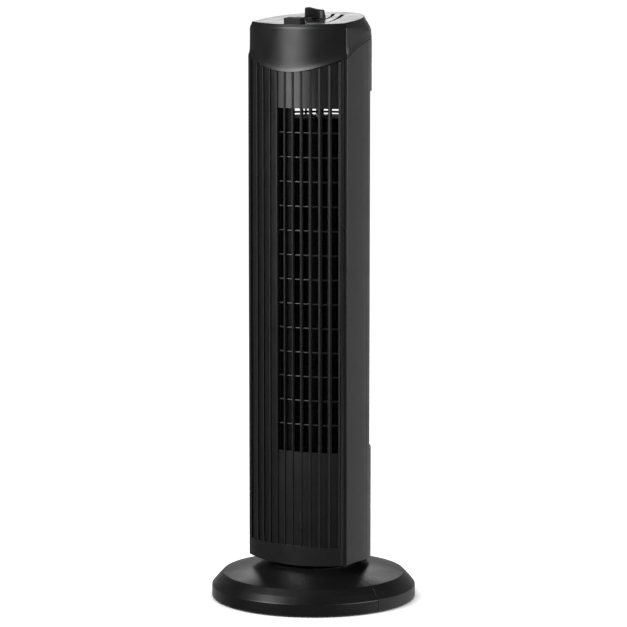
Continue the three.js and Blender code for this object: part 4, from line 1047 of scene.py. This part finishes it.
def top_cap():
    def ring(plan, inset, height):
        return [(x, y, height(y)) for x, y in outline(plan, inset)]

    def above_seam(rise):
        return lambda y: cap_seam_z(y) + rise

    def wall_top(drop):
        return lambda y: CAP_WALL_TOP - drop

    def below_face(drop):
        return lambda y: panel_z(y) - drop

    def flared(front_inset, side_inset, rise):
        """A ring above the seam that stands in further on the front than on the sides and the rear."""
        points = []
        for front, side in zip(outline(COLUMN, front_inset), outline(COLUMN, side_inset)):
            share = min(1.0, max(0.0, (CAP_FLARE_Y - side[1]) / 2.0))
            x = side[0] + (front[0] - side[0]) * share
            y = side[1] + (front[1] - side[1]) * share
            points.append((x, y, cap_seam_z(y) + rise))
        return points

    loops = [
        ring(COLUMN, 0.7, cap_seam_z),
        ring(COLUMN, 0.2, above_seam(0.15)),
        ring(COLUMN, 0.0, above_seam(0.6)),
    ]
    loops += [flared(*insets_and_rise) for insets_and_rise in CAP_FLARE]
    loops += [
        ring(COLUMN, CAP_LEAN - 0.15, wall_top(1.4)),
        ring(COLUMN, CAP_LEAN + 0.15, wall_top(0.35)),
    ]
    shoulder = ring(COLUMN, CAP_LEAN, wall_top(0.0))
    brim = ring(PANEL, 0.0, panel_z)
    for share in (0.06, 0.2, 0.55, 0.9, 0.985):
        loops.append([tuple(Vector(a).lerp(Vector(b), share)) for a, b in zip(shoulder, brim)])
    loops += [
        ring(PANEL, 0.12, below_face(0.12)),
        ring(PANEL, 0.15, below_face(2.9)),
        ring(PANEL, 1.4, below_face(2.9)),
        ring(PANEL, 1.4, below_face(5.1)),
        ring(COLUMN, CAP_LEAN + WALL + 1.0, wall_top(2.4)),
        ring(COLUMN, WALL, cap_seam_z),
    ]
    piece = make_object("top_cap_skin", *lofted(loops), "shell_plastic")
    finished(piece, "head", ["top_cap"], angle=42)


def panel_groove(points, widths, above, depth, steps=28):
    """A tapered wedge along a smooth curve on the panel, from a height above its face to a depth below it."""
    centre = smooth_curve(points, steps)
    loops = []
    for k, (x, y) in enumerate(centre):
        ahead = centre[min(k + 1, len(centre) - 1)]
        back = centre[max(k - 1, 0)]
        dx, dy = ahead[0] - back[0], ahead[1] - back[1]
        length = hypot(dx, dy)
        nx, ny = -dy / length, dx / length
        t = k / (len(centre) - 1)
        half = (widths[0] + (widths[1] - widths[0]) * t) / 2
        left, right = (x + nx * half, y + ny * half), (x - nx * half, y - ny * half)
        loops.append([(*left, panel_z(y) + above), (*right, panel_z(y) + above),
                      (*right, panel_z(y) - depth), (*left, panel_z(y) - depth)])
    return capped(loops)


def smooth_curve(points, steps):
    """A quadratic curve through three points."""
    (x0, y0), (x1, y1), (x2, y2) = points
    cx, cy = 2 * x1 - (x0 + x2) / 2, 2 * y1 - (y0 + y2) / 2
    result = []
    for k in range(steps + 1):
        t = k / steps
        result.append(((1 - t) ** 2 * x0 + 2 * t * (1 - t) * cx + t * t * x2,
                       (1 - t) ** 2 * y0 + 2 * t * (1 - t) * cy + t * t * y2))
    return result


def control_panel():
    ring = outline(PANEL, SEAM_GAP)
    inner = outline(PANEL, SEAM_GAP + 0.4)
    loops = [[(x, y, panel_z(y) - 2.6) for x, y in ring],
             [(x, y, panel_z(y) - 0.4) for x, y in ring],
             [(x, y, panel_z(y) - 0.12) for x, y in outline(PANEL, SEAM_GAP + 0.12)],
             [(x, y, panel_z(y)) for x, y in inner]]
    piece = make_object("control_panel_skin", *capped(loops), "panel_plastic")
    hole = column_of(circle(KNOB_X, KNOB_Y, KNOB_HOLE_RADIUS, 64), 680.0, 720.0)
    boolean(piece, make_object("tool", *hole, "inner_plastic"))
    boolean(piece, box_tool(BUTTON_X - BUTTON_HOLE_HALF_LENGTH, BUTTON_X + BUTTON_HOLE_HALF_LENGTH,
                            BUTTON_Y - BUTTON_HOLE_HALF_WIDTH, BUTTON_Y + BUTTON_HOLE_HALF_WIDTH, 680, 710))
    for points, widths in GROOVES:
        body = panel_groove(points, widths, above=1.0, depth=GROOVE_DEPTH)
        boolean(piece, make_object("tool", *body, "panel_plastic"))
    finished(piece, "head", ["control_panel"], angle=30)
    # Painted shade: a dark, unreflective inlay fills each groove just below the panel's face.
    for i, (points, widths) in enumerate(GROOVES):
        body = panel_groove(points, [w - 0.1 for w in widths], above=-0.12, depth=GROOVE_DEPTH - 0.05)
        groove_shade_inlay = painted(make_object(f"panel_groove_{i + 1}", *body, "panel_plastic"), GROOVE_SHADE_LOOK)
        finished(groove_shade_inlay, "head", ["control_panel"])


def on_panel_face(piece, x, y):
    """Stands a piece made about the origin square on the control panel."""
    tilt = Matrix.Rotation(atan(PANEL_SLOPE), 4, "X")
    piece.data.transform(Matrix.Translation(Vector((x, y, panel_z(y))) * MM) @ tilt)
    return piece


def grip_outline(length, width, pinch, bulge, steps=14):
    """The knob's bar from above: long sides that pinch in, and rounded ends."""
    half = length / 2
    points = []
    for side in (1, -1):
        for k in range(steps):
            t = k / steps
            points.append((side * (2 * half * t - half), side * (pinch * 4 * t * (1 - t) - width / 2)))
        for k in range(steps):
            angle = pi * (k / steps - 0.5)
            points.append((side * (half + bulge * cos(angle)), side * width / 2 * sin(angle)))
    return points


def speed_knob():
    # The skirt's section, and each level of the grip as a share of its height and how far it is drawn in.
    skirt = [(3.1, 0.6), (12.6, 0.6), (13.0, 1.0), (13.0, 1.9),
             (12.5, 2.5), (11.4, 2.95), (8.0, 3.3), (3.1, 3.6)]
    levels = [(0.08, 0.0), (0.72, 0.35), (0.88, 0.5), (0.945, 0.7), (0.98, 1.1), (0.998, 1.7), (1.0, 2.4)]
    loops = []
    for share, inset in levels:
        shape = grip_outline(26.4 - inset, 9.8 - 2 * inset, 1.35, 1.5 - inset * 0.3)
        loops.append([(x, y, share * (10.9 - x * GRIP_SLOPE)) for x, y in shape])
    grip = capped(loops)
    piece = make_object("speed_knob_skin", *turned(skirt, steps=128), "shell_plastic")
    grip_turn = Matrix.Rotation(radians(GRIP_ANGLE), 4, "Z")
    handle = make_object("tool", *grip, "shell_plastic")
    handle.data.transform(grip_turn)
    boolean(piece, handle, "UNION")
    bore = make_object("tool", *spun([(0, -1), (3.1, -1), (3.1, 9.3), (0, 9.3)], steps=48), "shell_plastic")
    boolean(piece, bore)
    notch = box_tool(6.0, 11.5, -0.45, 0.45, 9.9, 13.0)
    notch.data.transform(grip_turn)
    boolean(piece, notch)
    on_panel_face(piece, KNOB_X, KNOB_Y)
    finished(piece, "knob", ["speed_knob"], angle=32)


def swing_button():
    head = rounded_box((22.7, 12.2, 12.0), (0, 0, 1.0), 0.7)
    piece = make_object("swing_button_skin", *head, "shell_plastic")
    ridge = [box_body(x - 0.5, x + 0.5, -4.0, 4.0, 6.7, 7.0) for x in (-3.0, 0.0, 3.0)]
    stem = box_body(-2.5, 2.5, -2.5, 2.5, -11.0, -4.4)
    extra = make_object("tool", *merged(ridge + [stem]), "shell_plastic")
    boolean(piece, extra, "UNION")
    painted(piece, BUTTON_LOOK)
    on_panel_face(piece, BUTTON_X, BUTTON_Y)
    finished(piece, "button", ["swing_button"], angle=32)


# -------------------- blower and duct

def on_wheel(radius, angle):
    """A point at a radius and an angle in radians about the blower's axis."""
    return WHEEL_X + radius * cos(angle), WHEEL_Y + radius * sin(angle)


def blade(turn, bottom, top, steps=7):
    """A curved blade that scoops forward, as a loop of points at two heights."""
    outer, inner = WHEEL_RADIUS - 0.6, WHEEL_RADIUS - 0.6 - BLADE_WIDTH
    near, far = [], []
    for k in range(steps + 1):
        t = k / steps
        radius = inner + (outer - inner) * t
        angle = turn + radians(BLADE_SWEEP * t * t)
        shift = BLADE_THICKNESS / 2 / radius * (1 - 0.45 * abs(2 * t - 1))
        near.append(on_wheel(radius, angle - shift))
        far.append(on_wheel(radius, angle + shift))
    return column_of(near + far[::-1], bottom, top)


def blower():
    parts = []
    for i in range(DISC_COUNT):
        z = WHEEL_BOTTOM + (WHEEL_TOP - WHEEL_BOTTOM - DISC_THICKNESS) * i / (DISC_COUNT - 1)
        inner = END_DISC_HOLE_RADIUS if i in (0, DISC_COUNT - 1) else WHEEL_RADIUS - DISC_WIDTH
        top = z + DISC_THICKNESS
        profile = softened([(inner, z), (WHEEL_RADIUS, z), (WHEEL_RADIUS, top), (inner, top)], 0.3)
        parts.append(turned(profile, WHEEL_X, WHEEL_Y, 108))
    for i in range(BLADE_COUNT):
        parts.append(blade(tau * i / BLADE_COUNT, WHEEL_BOTTOM + 0.5, WHEEL_TOP - 0.5))
    piece = make_object("blower_wheel_skin", *merged(parts), "inner_plastic")
    finished(piece, "blower", ["blower_wheel"])


def duct_walls():
    bottom, top = LOWER_DECK_TOP + FIT, UPPER_DECK_BOTTOM - FIT
    faces = []
    for offset in (0.0, DUCT_WALL):
        points = []
        for i in range(25):
            share = i / 24
            radius = WHEEL_RADIUS + DUCT_GAP + 3.0 * share + offset
            points.append(on_wheel(radius, radians(40.0 - 45.0 * share)))
        x = SCROLL_EXIT_X + offset
        points.append((x, front_y(x, GRILLE_DEPTH + 2 * FIT)))
        faces.append(softened(points, 6.0 + offset, closed=False, steps=6, sharp=15.0))
    body = column_of(faces[0] + faces[1][::-1], bottom, top)
    wall = make_object("scroll_wall_skin", *body, "inner_plastic")
    finished(wall, "head", ["scroll_wall"], bevel=0.2, segments=1)

    inner, outer = [], []
    for i in range(21):
        angle = radians(-150.0 + 46.0 * i / 20)
        inner.append(on_wheel(WHEEL_RADIUS + DUCT_GAP, angle))
        outer.append(on_wheel(WHEEL_RADIUS + DUCT_GAP + DUCT_WALL, angle))
    tip = outer[-1]
    bend_x = tip[0] - 6.0
    exit_x = bend_x - 1.5
    exit_y = front_y(exit_x, GRILLE_DEPTH + 2 * FIT)
    bend_y = tip[1] - 0.6
    lip = [(bend_x, bend_y), (exit_x, exit_y), (exit_x - DUCT_WALL, exit_y), (bend_x - DUCT_WALL, bend_y)]
    back = [p for p in outer if p[0] < bend_x - 2.6][::-1]
    ring = softened(inner + [tip] + lip, 1.0, closed=False, sharp=15.0) + back
    wall = make_object("vortex_wall_skin", *column_of(ring, bottom, top), "inner_plastic")
    # Painted light: the vortex wall takes the lighter copy of the inner plastic.
    painted(wall, LIT_DUCT_LOOK)
    finished(wall, "head", ["vortex_wall"], bevel=0.15, segments=1)


# -------------------- looks of the CAD nodes

def paint_cad_nodes():
    slots = {part["node"]: part["material_slot"] for part in frame["record"]["subparts"]}
    for name, node in frame["nodes"].items():
        painted(node, SLOT_LOOKS[slots[name]])


# -------------------- floor, light and camera

def combined(tree, operation, a, b):
    """One maths step on two sockets, as a socket."""
    node = tree.nodes.new("ShaderNodeMath")
    node.operation = operation
    link(tree, a, node.inputs[0])
    link(tree, b, node.inputs[1])
    return node.outputs["Value"]


def floor():
    """A white floor that glows, with a painted contact shadow: it glows less where the object stands close
    above it.
    """
    mesh = bpy.data.meshes.new("floor")
    r = FLOOR_HALF_SIZE
    mesh.from_pydata([(-r, -r, 0), (r, -r, 0), (r, r, 0), (-r, r, 0)], [], [(0, 1, 2, 3)])
    plane = placed("floor", mesh)
    paint = bpy.data.materials.new("floor_paint")
    paint.use_nodes = True
    tree = paint.node_tree
    shader = tree.nodes["Principled BSDF"]
    set_inputs(shader, {"Base Color": (0.88, 0.88, 0.88, 1), "Roughness": 0.6,
                        "Specular IOR Level": 0.3, "Emission Color": (1, 1, 1, 1)})
    # Painted contact shadow: ambient occlusion dims the floor's glow close under the object.
    painted_contact_shadow = tree.nodes.new("ShaderNodeAmbientOcclusion")
    painted_contact_shadow.samples = 12
    painted_contact_shadow.inputs["Distance"].default_value = 0.05
    glow = ramp(tree, painted_contact_shadow.outputs["AO"], 0.25, 0.95, 0.0, 1.0)
    sight = tree.nodes.new("ShaderNodeLightPath")
    share = ramp(tree, sight.outputs["Is Camera Ray"], 0.0, 1.0, 0.3, 1.0)
    link(tree, combined(tree, "MULTIPLY", glow, share), shader.inputs["Emission Strength"])
    mesh.materials.append(paint)
    plane.visible_glossy = False


def surroundings():
    """White where the camera looks past the object. What lights it glows from behind and dims with height."""
    world = bpy.data.worlds.new("studio")
    bpy.context.scene.world = world
    world.use_nodes = True
    tree = world.node_tree
    tree.nodes.clear()
    place = tree.nodes.new("ShaderNodeTexCoord")
    split = tree.nodes.new("ShaderNodeSeparateXYZ")
    link(tree, place.outputs["Generated"], split.inputs["Vector"])
    behind = ramp(tree, split.outputs["Y"], -0.15, 0.6, 0.0, 1.0)
    above = ramp(tree, split.outputs["Z"], 0.0, 0.12, 0.8, 0.3)
    sideways = ramp(tree, split.outputs["X"], 0.1, 0.6, 0.55, 1.0)
    below_top = ramp(tree, split.outputs["Z"], 0.36, 0.6, 1.0, 0.05)
    band = combined(tree, "MULTIPLY", combined(tree, "MULTIPLY", above, sideways), below_top)
    fill = ramp(tree, split.outputs["Z"], 0.25, 0.6, 0.09, 0.03)
    glow = combined(tree, "ADD", combined(tree, "MULTIPLY", behind, band), fill)
    lit = tree.nodes.new("ShaderNodeBackground")
    link(tree, glow, lit.inputs["Strength"])
    seen = tree.nodes.new("ShaderNodeBackground")
    seen.inputs["Strength"].default_value = 1.0
    rays = tree.nodes.new("ShaderNodeLightPath")
    both = tree.nodes.new("ShaderNodeMixShader")
    link(tree, rays.outputs["Is Camera Ray"], both.inputs["Fac"])
    link(tree, lit.outputs["Background"], both.inputs[1])
    link(tree, seen.outputs["Background"], both.inputs[2])
    output = tree.nodes.new("ShaderNodeOutputWorld")
    link(tree, both.outputs["Shader"], output.inputs["Surface"])


def studio():
    floor()
    surroundings()
    for name, setting in LIGHTS.items():
        softbox(name, *setting)
    view = bpy.context.scene.view_settings
    view.view_transform = "Standard"
    view.look = "None"


def softbox(name, azimuth, distance, elevation, size, power):
    """A rectangular light. Azimuth is from the front towards the left side, seen from the front."""
    lamp = bpy.data.lights.new(name, "AREA")
    lamp.shape = "RECTANGLE"
    lamp.size, lamp.size_y = size
    lamp.energy = power
    light = placed(name, lamp)
    a, e = radians(azimuth), radians(elevation)
    towards = Vector((-sin(a) * cos(e), -cos(a) * cos(e), sin(e)))
    light.location = LIGHT_AIM + distance * towards
    light.rotation_euler = (LIGHT_AIM - light.location).to_track_quat("-Z", "Y").to_euler()


def camera():
    data = bpy.data.cameras.new("camera")
    data.lens = CAMERA_LENS
    data.sensor_width = 36.0
    seat = placed("camera", data)
    seat.location = CAMERA_PLACE
    pitch, azimuth = radians(CAMERA_PITCH), radians(CAMERA_AZIMUTH)
    level = cos(pitch)
    aim = Vector((-sin(azimuth) * level, cos(azimuth) * level, -sin(pitch)))
    seat.rotation_euler = aim.to_track_quat("-Z", "Y").to_euler()
    bpy.context.scene.camera = seat


build_base()
front_shell()
rear_shell()
rear_grille()
front_grille()
top_cap()
control_panel()
speed_knob()
swing_button()
blower()
duct_walls()
paint_cad_nodes()
studio()
camera()
